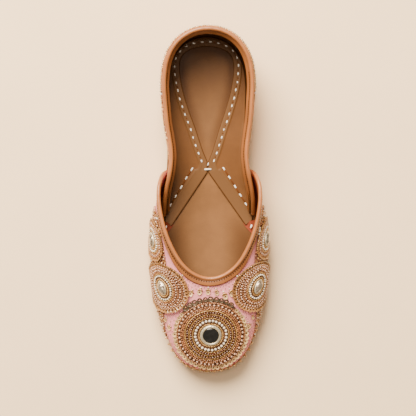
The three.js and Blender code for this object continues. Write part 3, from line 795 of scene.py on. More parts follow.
class MojariStitches(bpy.types.PropertyGroup):
    hand: colour_property("Hand thread", "White cotton of the hand stitches", (0.84, 0.78, 0.7))
    # The brown thread between the white stitches, sunk along the strip's edge, also stands in for the shaded
    # stitch holes: partly painted shade.
    waxed: colour_property("Waxed thread", "Brown thread between the white stitches", (0.12, 0.04, 0.012))
    # Kept near black so that the stitches also stand in for the shaded holes they sit in along the crease: partly
    # painted shade.
    machine: colour_property("Machine thread", "Dark thread along the bindings", (0.05, 0.018, 0.006))
    hand_length: length_property("Hand stitch", "Length of a hand stitch", 3.4 * MM)
    hand_pitch: length_property("Hand pitch", "Distance between hand stitches", 5.9 * MM)
    machine_pitch: length_property("Machine pitch", "Distance between machine stitches", 1.75 * MM)


class MojariStage(bpy.types.PropertyGroup):
    floor: colour_property("Floor", "Plain pale floor", (0.93, 0.70, 0.44))
    camera_height: length_property("Camera height", "Camera above the floor", 1.8)
    view_width: length_property("View width", "Floor that the picture takes in", 0.29952)


# Sole, insole and yoke.

OUTLINE_POINTS = 220


def outline_turns(count=OUTLINE_POINTS):
    """Turns round the whole outline, evenly spaced along it."""
    turns = np.linspace(-1, 1, 4001)
    points = outline_point(turns)
    travelled = travel(points)
    return np.interp(np.arange(count) / count * travelled[-1], travelled, turns), travelled[-1]


def ladder(first, count):
    """Quads that close a loop of an even number of points which starts at one end of its long axis."""
    faces = [[first, first + 1, first + count - 1]]
    for step in range(1, count // 2 - 1):
        faces.append([first + step, first + step + 1, first + count - step - 1, first + count - step])
    faces.append([first + count // 2 - 1, first + count // 2, first + count // 2 + 1])
    return faces


def layer(rings):
    """Points and faces of a closed layer whose rings run from inside one face over the edge to the other's."""
    count = len(rings[0])
    faces = grid_faces(len(rings), count, wrap=True).tolist()
    return np.concatenate(rings), faces + ladder(0, count) + ladder((len(rings) - 1) * count, count)


# The sole's section from underneath to its top, with its sewing channel and the lines between its layers:
# mm in from the outline, and share of its thickness.
SOLE_EDGE = [
    (5.2, 0.0), (4.0, 0.0), (3.7, 0.07), (3.3, 0.07), (3.0, 0.0), (0.9, 0.0), (0.45, 0.03), (0.12, 0.11),
    (0.0, 0.22), (0.0, 0.42), (0.16, 0.46), (0.0, 0.5), (0.0, 0.68), (0.14, 0.72), (0.0, 0.76), (0.0, 0.88),
    (0.14, 0.95), (0.45, 0.99), (0.9, 1.0),
]


class ADD_OT_mojari_sole(bpy.types.Operator):
    """Stacked leather sole with a stitched edge and a channel stitched along its underside"""
    bl_idname = "mojari.add_sole"
    bl_label = "Sole"

    def execute(self, context):
        colours = context.scene.mojari_leather
        turns, around = outline_turns()
        rings = []
        for inset, share in SOLE_EDGE:
            edge = inset_point(turns, np.full(len(turns), inset * MM))
            low, high = sole_bottom(edge[:, 1]), sole_top(edge[:, 1])
            rings.append(with_height(edge, low + (high - low) * share))
        points, faces = layer(rings)
        finish = leather_finish("sole_stack", colours.sole, roughness=(0.55, 0.72), streaks=0.4)
        add_piece("sole", points, faces, finish, "sole_leather", ("outsole",), sharp=50)

        rows = Rows(11)
        count = int(around / (4.2 * MM))
        stitch_turns, _ = outline_turns(count)
        places = inset_point(stitch_turns, np.full(count, 3.5 * MM))
        places = with_height(places, sole_bottom(places[:, 1]) + 0.28 * MM)
        beside = unit(outline_point(stitch_turns + SLOPE_STEP) - outline_point(stitch_turns - SLOPE_STEP))
        rows.add(places, (0, 0, -1), beside, (2.8 * MM, 0.6 * MM, 0.5 * MM))
        thread = thread_finish("sole_thread", shade(context.scene.mojari_stitches.hand, 0.7))
        strew("sole_stitches", rows, "stitch", thread)
        return {"FINISHED"}


# What a foot presses into the insole, in mm: depth, X, Y, half width and half length of the heel, the ball,
# the arch and four toes.
FOOT_MARKS = [
    (-0.35, 0, 88, 16, 20), (-0.3, 0, -35, 22, 30), (0.25, 0, 30, 20, 25), (-0.12, -16, -74, 4, 6),
    (-0.12, -6, -79, 4, 6), (-0.12, 5, -79, 4, 6), (-0.12, 15, -74, 4, 6),
]
# Where the line that the insole's rings close on begins and ends, in metres.
INSOLE_SPINE = (-0.086, 0.092)


class ADD_OT_mojari_insole(bpy.types.Operator):
    """Leather insole, dished by the heel and the ball of the foot"""
    bl_idname = "mojari.add_insole"
    bl_label = "Insole"

    def execute(self, context):
        colours = context.scene.mojari_leather
        turns, _ = outline_turns()
        rings = []
        for inset, depth in ((0.6, 0.0), (0.0, 0.0), (0.0, 1.5), (0.12, 1.8), (0.5, 2.0)):
            edge = inset_point(turns, insole_inset(turns) + inset * MM)
            rings.append(with_height(edge, insole_bottom(edge[:, 1]) + depth * MM))
        rim = rings[-1]
        spine = np.zeros_like(rim)
        spine[:, 1] = np.clip(rim[:, 1], *INSOLE_SPINE)
        for share in np.linspace(0, 1, 26)[1:-1]:
            ring = rim * (1 - share) + spine * share
            worn = sum(
                depth * bump_at(ring[:, 0], x * MM, wide * MM) * bump_at(ring[:, 1], y * MM, long * MM)
                for depth, x, y, wide, long in FOOT_MARKS)
            rings.append(with_height(ring, insole_bottom(ring[:, 1]) + INSOLE_THICKNESS + worn * MM))
        points, faces = layer(rings)
        finish = leather_finish(
            "insole_hide", colours.insole, grain=0.42 * MM, roughness=(0.4, 0.52), streaks=0.16,
            burnish=tuple(colours.burnish))
        rim_gap = np.concatenate([np.linalg.norm(ring - rings[1], axis=1) for ring in rings])
        y = points[:, 1] + ALONG_SHIFT
        # Painted shade with some burnishing: the insole darkens towards the heel in the heel wall's shadow, near
        # the vamp's walls at the throat, and beside the yoke's raised edge.
        heel = 0.55 * smooth_step(0.02, 0.108, y) ** 1.3
        throat = 0.75 * smooth_step(27 * MM, 9 * MM, rim_gap) * smooth_step(0.0, -0.03, y)
        opening, _ = yoke_edges(np.linspace(-TIE_ROW, TIE_ROW, 300))
        gap = np.linalg.norm(points[:, None, :2] - opening[None, :, :2], axis=-1).min(axis=1)
        opening_edge_shade = 0.55 * smooth_step(9 * MM, 0.0, gap) ** 1.5 * smooth_step(0.0, 0.06, y)
        insole_shade_and_burnish = np.clip(np.maximum(heel, throat) + opening_edge_shade, 0, 0.94)
        add_piece(
            "insole_leather", points, faces, finish, "insole_leather", ("insole",), sharp=50,
            marks={"burnish": insole_shade_and_burnish})
        return {"FINISHED"}


def yoke_edges(row):
    """The inner edge of the teardrop, then of the strap, and the turn of the outline that each row runs to."""
    side = np.where(row < 0, -1.0, 1.0)
    size = np.abs(row)
    inner_row = np.minimum(size, TIE_ROW)
    half = BALL_HALF * column_curve(TEARDROP_TABLE["half"], True)(inner_row)
    half = np.maximum(half, np.where(size < 1, 0, TIE_GAP / 2))
    along = column_curve(TEARDROP_TABLE["along"])(inner_row)
    turn = np.abs(column_curve(TEARDROP_TABLE["turn"], True)(inner_row))
    share = np.maximum(0, (size - TIE_ROW) / STRAP_STEPS)
    x = half + (STRAP_END["half"] * BALL_HALF - half) * share
    y = y_at(along) + (y_at(STRAP_END["along"]) - y_at(along)) * share
    turn = turn + (STRAP_END["turn"] - turn) * share
    return np.stack([side * x, y, np.zeros_like(x)], axis=-1), side * turn


def evenly(points, pitch, margin):
    """Places and headings along a polyline, about a pitch apart, with a margin at each end."""
    travelled = travel(points)
    length = travelled[-1] - 2 * margin
    at = margin + length * np.linspace(0, 1, max(1, int(round(length / pitch))) + 1)

    def read(where):
        where = np.clip(where, 0, travelled[-1])
        return np.stack([np.interp(where, travelled, points[:, axis]) for axis in range(3)], axis=-1)

    step = pitch * 0.2
    return read(at), unit(read(at + step) - read(at - step))


def offset_line(points, distance):
    """A level line moved sideways, to the left of the way that it runs."""
    heading = unit(np.gradient(points, axis=0))
    return points + np.stack([-heading[:, 1], heading[:, 0], np.zeros(len(points))], axis=-1) * distance


# Where the two sides are tied, as a share of the sole's length, how wide the folded strip and the straps are,
# how far in from the edge the hand stitches run, and the pitch of the straps' own.
TIE_ALONG = 0.4042
STRIP_WIDTH = 5.8 * MM
STRAP_WIDTH = 8.8 * MM
STITCH_LINE = 3.6 * MM
STRAP_PITCH = 7.0 * MM


def strip_distance(points):
    """How far points of the yoke lie from its inner edge, in plan, and how wide the strip is there."""
    rows = np.linspace(-YOKE_ROWS, YOKE_ROWS, 900)
    inner, _ = yoke_edges(rows)
    gaps = np.linalg.norm(points[:, None, :2] - inner[None, :, :2], axis=-1)
    nearest = np.abs(rows[gaps.argmin(axis=1)])
    width = STRIP_WIDTH + (STRAP_WIDTH - STRIP_WIDTH) * smooth_step(TIE_ROW - 0.9, TIE_ROW + 0.3, nearest)
    return gaps.min(axis=1), width


def yoke_relief(points):
    """Height of the yoke's face above its flat top: a folded strip along the inner edge, with its ridge."""
    away, width = strip_distance(points)
    strip = 1 - smooth_step(width - 0.5 * MM, width + 0.4 * MM, away)
    ridge = bump_at(away, width - 0.7 * MM, 0.5 * MM) * 0.14
    channel = bump_at(away, STITCH_LINE, 0.8 * MM) * -0.12 * (width < 0.5 * (STRIP_WIDTH + STRAP_WIDTH))
    rounded = -0.55 * (1 - smooth_step(0, 0.7 * MM, away))
    return (0.02 + (strip - 1) * 0.38 + ridge + channel + rounded) * MM, strip


class ADD_OT_mojari_yoke(bpy.types.Operator):
    """Lining yoke: a stitched strip round the teardrop opening that crosses at the tie and runs on as straps"""
    bl_idname = "mojari.add_yoke"
    bl_label = "Lining yoke"

    def execute(self, context):
        self.leather(context.scene.mojari_leather)
        self.stitching(context.scene.mojari_stitches)
        return {"FINISHED"}

    def leather(self, colours):
        rows = np.linspace(-YOKE_ROWS, YOKE_ROWS, 421)
        shares = np.concatenate([[0, 0.006, 0.015, 0.03], np.linspace(0.05, 1, 34)])
        inner, turns = yoke_edges(rows)
        outer = inset_point(turns, quarter_inset(turns) + QUARTER_WALL + SEAM_GAP * 0.3)
        flat = inner[:, None] * (1 - shares[None, :, None]) + outer[:, None] * shares[None, :, None]
        plan = flat.reshape(-1, 3)
        relief, strip = yoke_relief(plan)
        base = yoke_bottom(plan[:, 1])
        cove = np.tile(smooth_step(0.93, 1.0, shares), len(rows)) * 0.5 * MM
        top = with_height(plan, base + YOKE_THICKNESS + relief + cove).reshape(flat.shape)
        under = with_height(plan, base).reshape(flat.shape)
        points, faces = plate(top, under)
        finish = leather_finish(
            "yoke_hide", colours.lining, grain=0.45 * MM, roughness=(0.42, 0.55), streaks=0.2,
            wear=tuple(colours.yoke), burnish=tuple(colours.burnish))
        # Painted shade with some burnishing: dark along the strip's inner edge, towards the heel, and at the step
        # where the strip drops to the yoke.
        rim = 0.85 * (1 - smooth_step(0.15 * MM, 0.75 * MM, strip_distance(plan)[0]))
        heel = 0.75 * smooth_step(0.045, 0.112, plan[:, 1] + ALONG_SHIFT) + 0.25 * bump_at(strip, 0.5, 0.25)
        marks = {"wear": np.tile(strip, 2), "burnish": np.tile(np.clip(rim + heel * 0.45, 0, 0.9), 2)}
        add_piece(
            "yoke_leather", points, faces, finish, "lining_leather", ("lining_yoke",), sharp=55, marks=marks)

    def stitching(self, stitches):
        """Hand stitches along the strip and the straps, the waxed thread between them, which also stands in for
        the shaded stitch holes, and the tie.
        """
        white, dark = Rows(21), Rows(22)
        length = stitches.hand_length

        def sew(line, margin, step, white_size, dark_size, sunk, jitter, tint):
            places, headings = evenly(line, step, margin)
            relief_here, _ = yoke_relief(places)
            places = with_height(places, yoke_bottom(places[:, 1]) + YOKE_THICKNESS + relief_here + 0.16 * MM)
            headings = headings + white.random.uniform(-0.07, 0.07, headings.shape) * np.array([1, 1, 0])
            # The dark pieces between the stitches are partly painted shade for the stitch holes.
            between = (places[:-1] + places[1:]) / 2 - np.array([0, 0, sunk])
            white.add(places, (0, 0, 1), headings, white_size, jitter=jitter, vary=0.1)
            dark.add(between, (0, 0, 1), headings[:-1], dark_size, tint=tint)

        edge_rows = np.linspace(-TIE_ROW + 0.62, TIE_ROW - 0.62, 700)
        edge, _ = yoke_edges(edge_rows)
        sew(
            offset_line(edge, STITCH_LINE), 5.6 * MM, stitches.hand_pitch, (length * 0.7, 1.1 * MM, 0.95 * MM),
            (1.2 * MM, 1.0 * MM, 0.5 * MM), 0.12 * MM, 0.15 * MM, 0.1)
        for side in (-1, 1):
            line = np.array([[side * 11.6, 23.2, 0], [side * 31.0, -8.6, 0]]) * MM
            between = (STRAP_PITCH - length * 0.55, 0.95 * MM, 0.75 * MM)
            sew(line, 0, STRAP_PITCH, (length, 1.2 * MM, 0.95 * MM), between, 0, 0.18 * MM, 0.9)
        tie_top = yoke_bottom(y_at(TIE_ALONG)) + YOKE_THICKNESS
        for x, along, lift, heading, size, tint in (
            (0, TIE_ALONG, 0.35, (1, 0, 0), (5.9, 1.5, 1.1), 0.9),
            (0.2, 0.389, 0.2, (0.35, 1, 0), (2.6, 0.8, 0.8), 0.2),
        ):
            place = (x * MM, y_at(along), tie_top + lift * MM)
            white.add(place, (0, 0, 1), heading, np.array(size) * MM, tint=tint)
        cotton = thread_finish("white_cotton", stitches.hand)
        wax = thread_finish("waxed_thread", stitches.waxed, sheen=0.0)
        strew("yoke_hand_stitches", white, "stitch", cotton)
        strew("yoke_waxed_thread", dark, "stitch", wax)


# Upper: cloth outside and leather lining inside.

# Soft troughs (below 0) and ridges of the upper: place round and up the wall, half widths, lean, height.
VAMP_CREASES = [
    (0.0, 0.97, 0.30, 0.05, 0.0, -0.20), (0.13, 0.86, 0.016, 0.11, 0.05, -0.28),
    (-0.12, 0.88, 0.015, 0.10, -0.04, -0.26), (0.335, 0.6, 0.016, 0.24, 0.03, -0.34),
    (-0.33, 0.58, 0.016, 0.25, -0.02, -0.36), (0.09, 0.2, 0.02, 0.14, 0.03, -0.22),
    (-0.10, 0.22, 0.02, 0.15, -0.03, -0.24), (0.55, 0.5, 0.014, 0.3, 0.02, -0.22),
    (-0.56, 0.52, 0.014, 0.3, -0.02, -0.24), (0.62, 0.45, 0.02, 0.28, 0.0, 0.18),
    (-0.63, 0.45, 0.02, 0.28, 0.0, 0.18), (0.2, 0.93, 0.06, 0.04, 0.0, 0.12),
]
QUARTER_CREASES = [
    (0.07, 0.5, 0.016, 0.3, 0.02, -0.26), (-0.06, 0.46, 0.014, 0.28, -0.02, -0.22),
    (0.27, 0.42, 0.03, 0.22, 0.04, -0.2), (-0.26, 0.45, 0.03, 0.24, -0.04, -0.24),
    (0.45, 0.3, 0.05, 0.16, 0.0, 0.16), (-0.47, 0.3, 0.05, 0.16, 0.0, 0.16), (0.0, 0.16, 0.2, 0.07, 0.0, 0.2),
    (0.62, 0.6, 0.02, 0.22, 0.03, -0.2), (-0.6, 0.6, 0.02, 0.22, -0.03, -0.2),
]
COLLAR_DEPTH = 36 * MM


def collar_pad(depth):
    """How far the quarter's padded collar stands in from the wall, at a depth below the topline."""
    return 2.6 * MM * np.clip(depth / (4.3 * MM), 0, 1) ** 1.1 * (1 - smooth_step(6 * MM, 26 * MM, depth))


def relief(around, up, creases, scale=1.0):
    total = np.zeros(np.broadcast(around, up).shape)
    for at_around, at_up, half_around, half_up, lean, height in creases:
        shifted = around - at_around - lean * (up - at_up)
        total = total + height * bump_at(shifted, 0, half_around) * bump_at(up, at_up, half_up)
    return total * scale * MM


def measured(grid):
    """UVs in metres along and up a grid of points."""
    u = travel(grid[:, grid.shape[1] // 2])
    rises = np.linalg.norm(np.diff(grid, axis=1), axis=2)
    v = np.concatenate([np.zeros((grid.shape[0], 1)), np.cumsum(rises, axis=1)], axis=1)
    return np.stack([np.broadcast_to(u[:, None] - u[-1] / 2, v.shape), v], axis=-1).reshape(-1, 2)


def add_layer(name, wall, grid, outside, inside, finish, slot, stands_for=(), marks=None):
    """A sheet that follows a wall. outside and inside say how far its faces stand off the wall's outer face."""
    around = np.linspace(-1, 1, grid[0])[:, None]
    up = np.linspace(0, 1, grid[1])[None, :]
    spread = np.broadcast_arrays(around, up)
    outer, inner = (wall.point(around, up, offset(*spread)) for offset in (outside, inside))
    points, faces = plate(outer, inner)
    uv = np.tile(measured(outer), (2, 1))
    return add_piece(name, points, faces, finish, slot, stands_for, uv=uv, marks=marks, sharp=50)


def marked(grid, value):
    """A mark at each point of both faces of a layer, from where the point is on its wall."""
    around, up = np.meshgrid(np.linspace(-1, 1, grid[0]), np.linspace(0, 1, grid[1]), indexing="ij")
    return np.tile(value(around, up).ravel(), 2)


def heel_shade_and_burnish(around, up):
    """Painted shade with some burnishing: the quarter's lining is darkest low down round the heel, deep in the
    heel cup where shade falls.
    """
    return 0.6 * smooth_step(0.62, 0.1, np.abs(around)) * smooth_step(0.95, 0.2, up)


VAMP_GRID = (301, 61)
VAMP_LINING_GRID = (241, 41)
QUARTER_GRID = (261, 41)


class ADD_OT_mojari_upper(bpy.types.Operator):
    """Cloth vamp and quarter with their leather linings"""
    bl_idname = "mojari.add_upper"
    bl_label = "Upper"

    def execute(self, context):
        colours, cloth = context.scene.mojari_leather, context.scene.mojari_cloth
        woven = cloth_finish("pink_weave", cloth.colour, cloth.pitch, cloth.worked)
        self.lining_foot(
            leather_finish("lining_foot_hide", colours.vamp_lining, roughness=(0.5, 0.65), streaks=0.3),
            context.scene.mojari_stitches.hand)
        vamp_hide = leather_finish("vamp_lining_hide", colours.vamp_lining, roughness=(0.5, 0.65), streaks=0.3)
        quarter_hide = leather_finish(
            "quarter_lining_hide", colours.lining, streaks=0.22, burnish=tuple(colours.burnish))
        skin = 0.9 * MM
        seam = 0.06 * MM

        def tuck(up):
            return -0.35 * MM * bump_at(up, 0, 0.035)

        def vamp_face(around, up):
            return relief(around, up, VAMP_CREASES) + tuck(up)

        def quarter_face(around, up):
            return relief(around, up, QUARTER_CREASES, 0.6) * (np.abs(around) < 0.7) + tuck(up)

        def cloth_back(around, up):
            return -skin + 0 * up

        def lining_face(around, up):
            return -skin - seam + 0 * up

        def vamp_inside(around, up):
            return -VAMP_WALL - relief(around, up, VAMP_CREASES, 0.5)

        def quarter_inside(around, up):
            pad = collar_pad((1 - up) * COLLAR_DEPTH)
            return -QUARTER_WALL - pad - relief(around, up, QUARTER_CREASES) * (up > 0.02)

        worked = marked(VAMP_GRID, lambda around, up: 0.85 * ground_share(around, up))
        add_layer(
            "vamp_cloth", vamp, VAMP_GRID, vamp_face, cloth_back, woven, "pink_cloth", ("vamp",),
            marks={"worked": worked})
        add_layer("vamp_lining", vamp, VAMP_LINING_GRID, lining_face, vamp_inside, vamp_hide, "lining_leather")
        add_layer(
            "quarter_cloth", quarter, QUARTER_GRID, quarter_face, cloth_back, woven, "pink_cloth", ("quarter",))
        add_layer(
            "quarter_lining", quarter, QUARTER_GRID, lining_face, quarter_inside, quarter_hide, "lining_leather",
            marks={"burnish": marked(QUARTER_GRID, heel_shade_and_burnish)})
        return {"FINISHED"}

    def lining_foot(self, finish, hand):
        """The vamp's lining where it curves in over the insole's margin, beside and in front of the straps."""
        turns = np.linspace(STRAP_END["turn"] + 0.002, 2 - STRAP_END["turn"] - 0.002, 201)[:, None]
        share = np.linspace(0, 1, 13)[None, :]
        turns, share = np.broadcast_arrays(turns, share)
        wall_inset = SOLE_LEDGE + VAMP_WALL + 0.35 * MM
        width = (8.8 - 6.8 * smooth_step(0.535, 0.575, np.minimum(turns, 2 - turns))) * MM
        plan = inset_point(turns, wall_inset + width * share)
        base = insole_bottom(plan[..., 1]) + INSOLE_THICKNESS
        top = with_height(plan, base + 0.12 * MM + 0.35 * MM + 6.5 * MM * (1 - share) ** 2.6)
        points, faces = plate(top, with_height(plan, base + 0.12 * MM + 6.2 * MM * (1 - share) ** 2.6))
        add_piece("vamp_lining_foot", points, faces, finish, "lining_leather", sharp=50)
        knots = Rows(41)
        places = np.array([[30.6, -18.3, 0], [-30.6, -18.3, 0]]) * MM
        height = insole_bottom(places[:, 1]) + INSOLE_THICKNESS + 2.6 * MM
        knots.add(with_height(places, height), (0, 0, 1), (0.3, 1, 0), (3.2 * MM, 1.3 * MM, 1.1 * MM))
        strew("vamp_lining_knots", knots, "stitch", thread_finish("knot_cotton", hand))


# Steps down a band and round its roll, how far down it is sewn as a share, the machine stitches' margin at its
# ends, and how far each way from the back of the heel the quarter's inside has none.
BAND_STEPS = 16
ROLL_TURNS = 14
SEWN_DOWN = 0.21
SEWN_MARGIN = 3 * MM
INSIDE_CLEAR = 50 * MM


def band_height(down):
    """The band's face above its seam: a crease under the roll, the sewn channel and a thinned lower edge."""
    face = (SEAM_GAP + BINDING_THICKNESS) * (1 - 0.34 * smooth_step(0.84, 1.0, down))
    return float(face - (0.34 * bump_at(down, 0.06, 0.1) + 0.1 * bump_at(down, SEWN_DOWN, 0.12)) * MM)


def edge_burnish_and_shade(downs, travelled, inside, shape):
    """How dark a rolled edge's sections are, painted shade with some burnishing: at the seam in the crease under
    the roll, in the sewn channel, at the lower edge beside the shaded lining and where the roll tucks in.
    """
    crease_shade_and_burnish = 0.2 + 0.6 * bump_at(downs, 0.06, 0.1) + 0.4 * bump_at(downs, SEWN_DOWN, 0.1)
    crease_shade_and_burnish = crease_shade_and_burnish + 0.45 * smooth_step(0.86, 1, downs)
    crease_shade_and_burnish = np.concatenate([crease_shade_and_burnish, np.zeros(ROLL_TURNS + 1), [0.3]])
    crease_shade_and_burnish[len(downs)], crease_shade_and_burnish[-3:-1] = 0.35, (0.15, 0.3)
    crease_shade_and_burnish = np.broadcast_to(crease_shade_and_burnish, shape)
    if inside:
        sewn_part = smooth_step(0.035, 0.065, np.abs(travelled))[:, None]
        crease_shade_and_burnish = 0.12 + (crease_shade_and_burnish - 0.12) * (0.15 + 0.85 * sewn_part)
    return crease_shade_and_burnish.ravel()


def rolled_edge(wall, thickness, inside, columns, swell):
    """Sections of a rolled topline, square to the edge, with a measure along and round each."""
    band_face = SEAM_GAP + BINDING_THICKNESS
    radius = (band_face + thickness) / 2
    centre = band_face - radius
    rise = SEAM_GAP + radius * ROLL_LIFT
    around = np.linspace(-1, 1, columns)
    edge, along_up = wall.slopes(around, 1.0)
    outward = unit(np.cross(edge, wall.normal(around, 1.0)))
    outward = np.where(dot(outward, along_up) < 0, -outward, outward)
    depths = np.linspace(0, BAND_WIDTH, BAND_STEPS + 1)[1:]
    places = [(around, np.ones(columns))] + wall.walk(around, np.ones(columns), -outward, depths)
    travelled = travel(wall.outer(around, 1.0))
    travelled -= travelled[-1] / 2
    section = [(0.05 * MM, step) for step in range(BAND_STEPS + 1)] + [(0.45 * band_face, BAND_STEPS)]
    section += [(band_height(step / BAND_STEPS), step) for step in range(BAND_STEPS, -1, -1)]
    rings = []
    for out, step in section:
        pad = float(collar_pad(step / BAND_STEPS * BAND_WIDTH)) if inside and out > 0.4 * band_face else 0.0
        offset = out + pad + (swell(travelled, step / BAND_STEPS) if out > 0.5 * band_face else 0)
        offset = -thickness - offset if inside else offset
        rings.append(wall.point(places[step][0], places[step][1], offset))
    for step in range(ROLL_TURNS + 1):
        angle = math.pi * (step + 0.3) / (ROLL_TURNS + 0.6)
        out = centre + radius * 0.985 * math.cos(angle)
        out = -thickness - out if inside else out
        ring = wall.point(around, np.ones(columns), out)
        pucker = swell(travelled, -0.3) * math.sin(angle)
        rings.append(ring + outward * (rise + radius * math.sin(angle) + pucker)[:, None])
    rings.append(wall.point(around, np.ones(columns), -thickness - (-thickness if inside else 0)))
    sections = np.stack(rings, axis=1)
    loop = np.linalg.norm(np.roll(sections, -1, axis=1) - sections, axis=2).cumsum(axis=1)
    uv = np.stack([np.broadcast_to(travelled[:, None], loop.shape), loop], axis=-1).reshape(-1, 2)
    downs = np.array([step / BAND_STEPS for _, step in section])
    crease_shade_and_burnish = edge_burnish_and_shade(downs, travelled, inside, loop.shape)
    return sections, np.concatenate([uv, uv[:2]]), np.concatenate([crease_shade_and_burnish, crease_shade_and_burnish[:2]]), places, travelled


def binding_finish(name, colour, grain, burnish):
    """Soft glazed leather, with fine wrinkles that run across the roll and painted shade in their troughs."""
    finish = Finish(name, Coat_Weight=0.12, Coat_Roughness=0.3, Specular_IOR_Level=0.4)
    wrinkles = finish.noise(1.0 * MM, detail=3, rough=0.6, stretch=(1.3, 0.22, 1), place=finish.uv())
    dye = finish.mottle(finish.noise(16 * MM, detail=3), 0.3, 0.72, colour, 0.9, 1.08)
    # Painted shade: the troughs of the wrinkles are darkened.
    dye = finish.mix(finish.ramp(wrinkles, 0.25, 0.45, 0.3, 0), dye, shade(colour, 0.66))
    rubbed = finish.noise(4 * MM, detail=4, shift=(0.2, 0, 0))
    dye = finish.mix(finish.ramp(rubbed, 0.58, 0.75, 0, 0.35), dye, shade(colour, 1.35))
    # Painted shade with some burnishing, by the edge's mark.
    dye = finish.mix(finish.mark("burnish"), dye, burnish)
    height = finish.blend(finish.pores(grain), -0.5, wrinkles, 1.2)
    return finish.paint(dye, finish.ramp(rubbed, 0.3, 0.7, 0.34, 0.48), finish.bump(height, 0.07 * MM, 0.5))


def vamp_swell(travelled, down):
    """Puckers of the vamp's topline: strongest where it turns sharply beside the ears."""
    tight = bump_at(np.abs(travelled), 0.079, 0.012) + 0.35 * bump_at(travelled, 0, 0.03)
    waves = np.sin(travelled / 0.00115 + 1.4 * np.sin(travelled / 0.006))
    return 0.05 * MM * waves * (0.25 + tight) + 0.05 * MM * np.sin(travelled / 0.009 + 1)


def quarter_swell(travelled, down):
    """Puckers of the quarter's topline, tightest round the heel, and the lip where its two ends overlap."""
    tight = bump_at(travelled, 0, 0.03)
    waves = np.sin(travelled / 0.0012 + 1.2 * np.sin(travelled / 0.007))
    lip = smooth_step(-0.012, -0.010, travelled) * (1 - smooth_step(-0.001, 0.001, travelled))
    puckers = 0.04 * waves * (0.25 + tight) + 0.05 * np.sin(travelled / 0.01)
    return (puckers + 0.3 * lip * bump_at(down, 0.55, 0.16)) * MM


class ADD_OT_mojari_bindings(bpy.types.Operator):
    """Rolled leather toplines with their stitched bands"""
    bl_idname = "mojari.add_bindings"
    bl_label = "Bindings"

    def execute(self, context):
        colours, stitches = context.scene.mojari_leather, context.scene.mojari_stitches
        finish = binding_finish("binding_hide", colours.binding, colours.grain, shade(colours.binding, 0.22))
        # Near-black thread, partly painted shade for the stitch holes.
        thread = thread_finish("machine_thread", stitches.machine, sheen=0.0)
        for name, wall, thickness, inside, columns, swell in (
            ("vamp_binding", vamp, VAMP_WALL, False, 520, vamp_swell),
            ("quarter_binding", quarter, QUARTER_WALL, True, 620, quarter_swell),
        ):
            sections, uv, crease_shade_and_burnish, places, travelled = rolled_edge(wall, thickness, inside, columns, swell)
            points, faces = tube(sections)
            add_piece(
                name + "_leather", points, faces, finish, "binding_leather", (name,), uv=uv, sharp=60,
                marks={"burnish": crease_shade_and_burnish})
            rows = self.sewn(wall, thickness, inside, places, travelled, stitches.machine_pitch)
            strew(name + "_stitches", rows, "stitch", thread)
        return {"FINISHED"}

    def sewn(self, wall, thickness, inside, places, travelled, pitch):
        """Machine stitches along a band."""
        line = SEWN_DOWN * BAND_STEPS
        low = int(line)
        around, up = (
            near * (low + 1 - line) + far * (line - low) for near, far in zip(places[low], places[low + 1]))
        count = int((travelled[-1] - travelled[0] - 2 * SEWN_MARGIN) / pitch)
        at = np.linspace(travelled[0] + SEWN_MARGIN, travelled[-1] - SEWN_MARGIN, count)
        if inside:
            at = at[np.abs(at) > INSIDE_CLEAR]
        around, up = np.interp(at, travelled, around), np.interp(at, travelled, up)
        pad = float(collar_pad(SEWN_DOWN * BAND_WIDTH)) if inside else 0
        offset = band_height(SEWN_DOWN) + pad + 0.05 * MM
        places = wall.point(around, up, -thickness - offset if inside else offset)
        normal = wall.normal(around, up) * (-1 if inside else 1)
        rows = Rows(31)
        rows.add(places, normal, np.cross(normal, (0, 0, 1)), (1.05 * MM, 0.8 * MM, 0.6 * MM), vary=0.1)
        return rows


# Embroidery.

class Chart:
    """Polar places on a wall round a centre: angle 0 runs level towards +around, a quarter turn up the wall."""

    def __init__(self, wall, around, up, reach):
        spokes, stride = 72, 0.75 * MM
        self.wall, self.spokes, self.stride, self.centre = wall, spokes, stride, (around, up)
        level, upward, _ = wall.directions(around, up)
        angles = np.arange(spokes) * 2 * np.pi / spokes
        heading = np.cos(angles)[:, None] * level + np.sin(angles)[:, None] * upward
        distances = np.arange(1, int(reach / stride) + 2) * stride
        reached = wall.walk(np.full(spokes, around), np.full(spokes, up), heading, distances)
        self.around = np.array([np.full(spokes, around)] + [place[0] for place in reached])
        self.up = np.array([np.full(spokes, up)] + [place[1] for place in reached])
        self.points = wall.outer(self.around, self.up)
        self.tree = KDTree(self.points.size // 3)
        for index, point in enumerate(self.points.reshape(-1, 3)):
            self.tree.insert(point, index)
        self.tree.balance()

    def place(self, angle, distance):
        ring = np.clip(np.asarray(distance) / self.stride, 0, len(self.around) - 1.001)
        spoke = (np.asarray(angle) / (2 * np.pi) * self.spokes) % self.spokes
        i, j = np.floor(ring).astype(int), np.floor(spoke).astype(int)
        a, b = ring - i, spoke - j
        j = j % self.spokes
        beside = (j + 1) % self.spokes

        def read(table):
            near = table[i, j] * (1 - b) + table[i, beside] * b
            far = table[i + 1, j] * (1 - b) + table[i + 1, beside] * b
            return near * (1 - a) + far * a

        return read(self.around), read(self.up)

    def shares(self, points, half_level, half_upward):
        """How far out points lie, where 1 is the rim of an oval of those half sizes."""
        index, gap = (np.array(found) for found in zip(*(self.tree.find(point)[1:] for point in points)))
        ring, spoke = index // self.spokes, index % self.spokes
        angle = spoke * 2 * np.pi / self.spokes
        flat = ring * self.stride
        share = flat * np.hypot(np.cos(angle) / half_level, np.sin(angle) / half_upward)
        return np.where(gap > 1.5 * self.stride + flat * 0.09, 9.0, share)


MEDALLIONS = [
    {"name": "toe_medallion", "around": 0.0, "up": 0.62, "level": 0.685, "upward": 0.685, "lean": 0.0},
    {"name": "front_medallion", "around": 0.23, "up": 0.635, "level": 0.51, "upward": 0.43, "lean": 0.62},
    {"name": "rear_medallion", "around": 0.435, "up": 0.56, "level": 0.385, "upward": 0.27, "lean": 0.06},
]
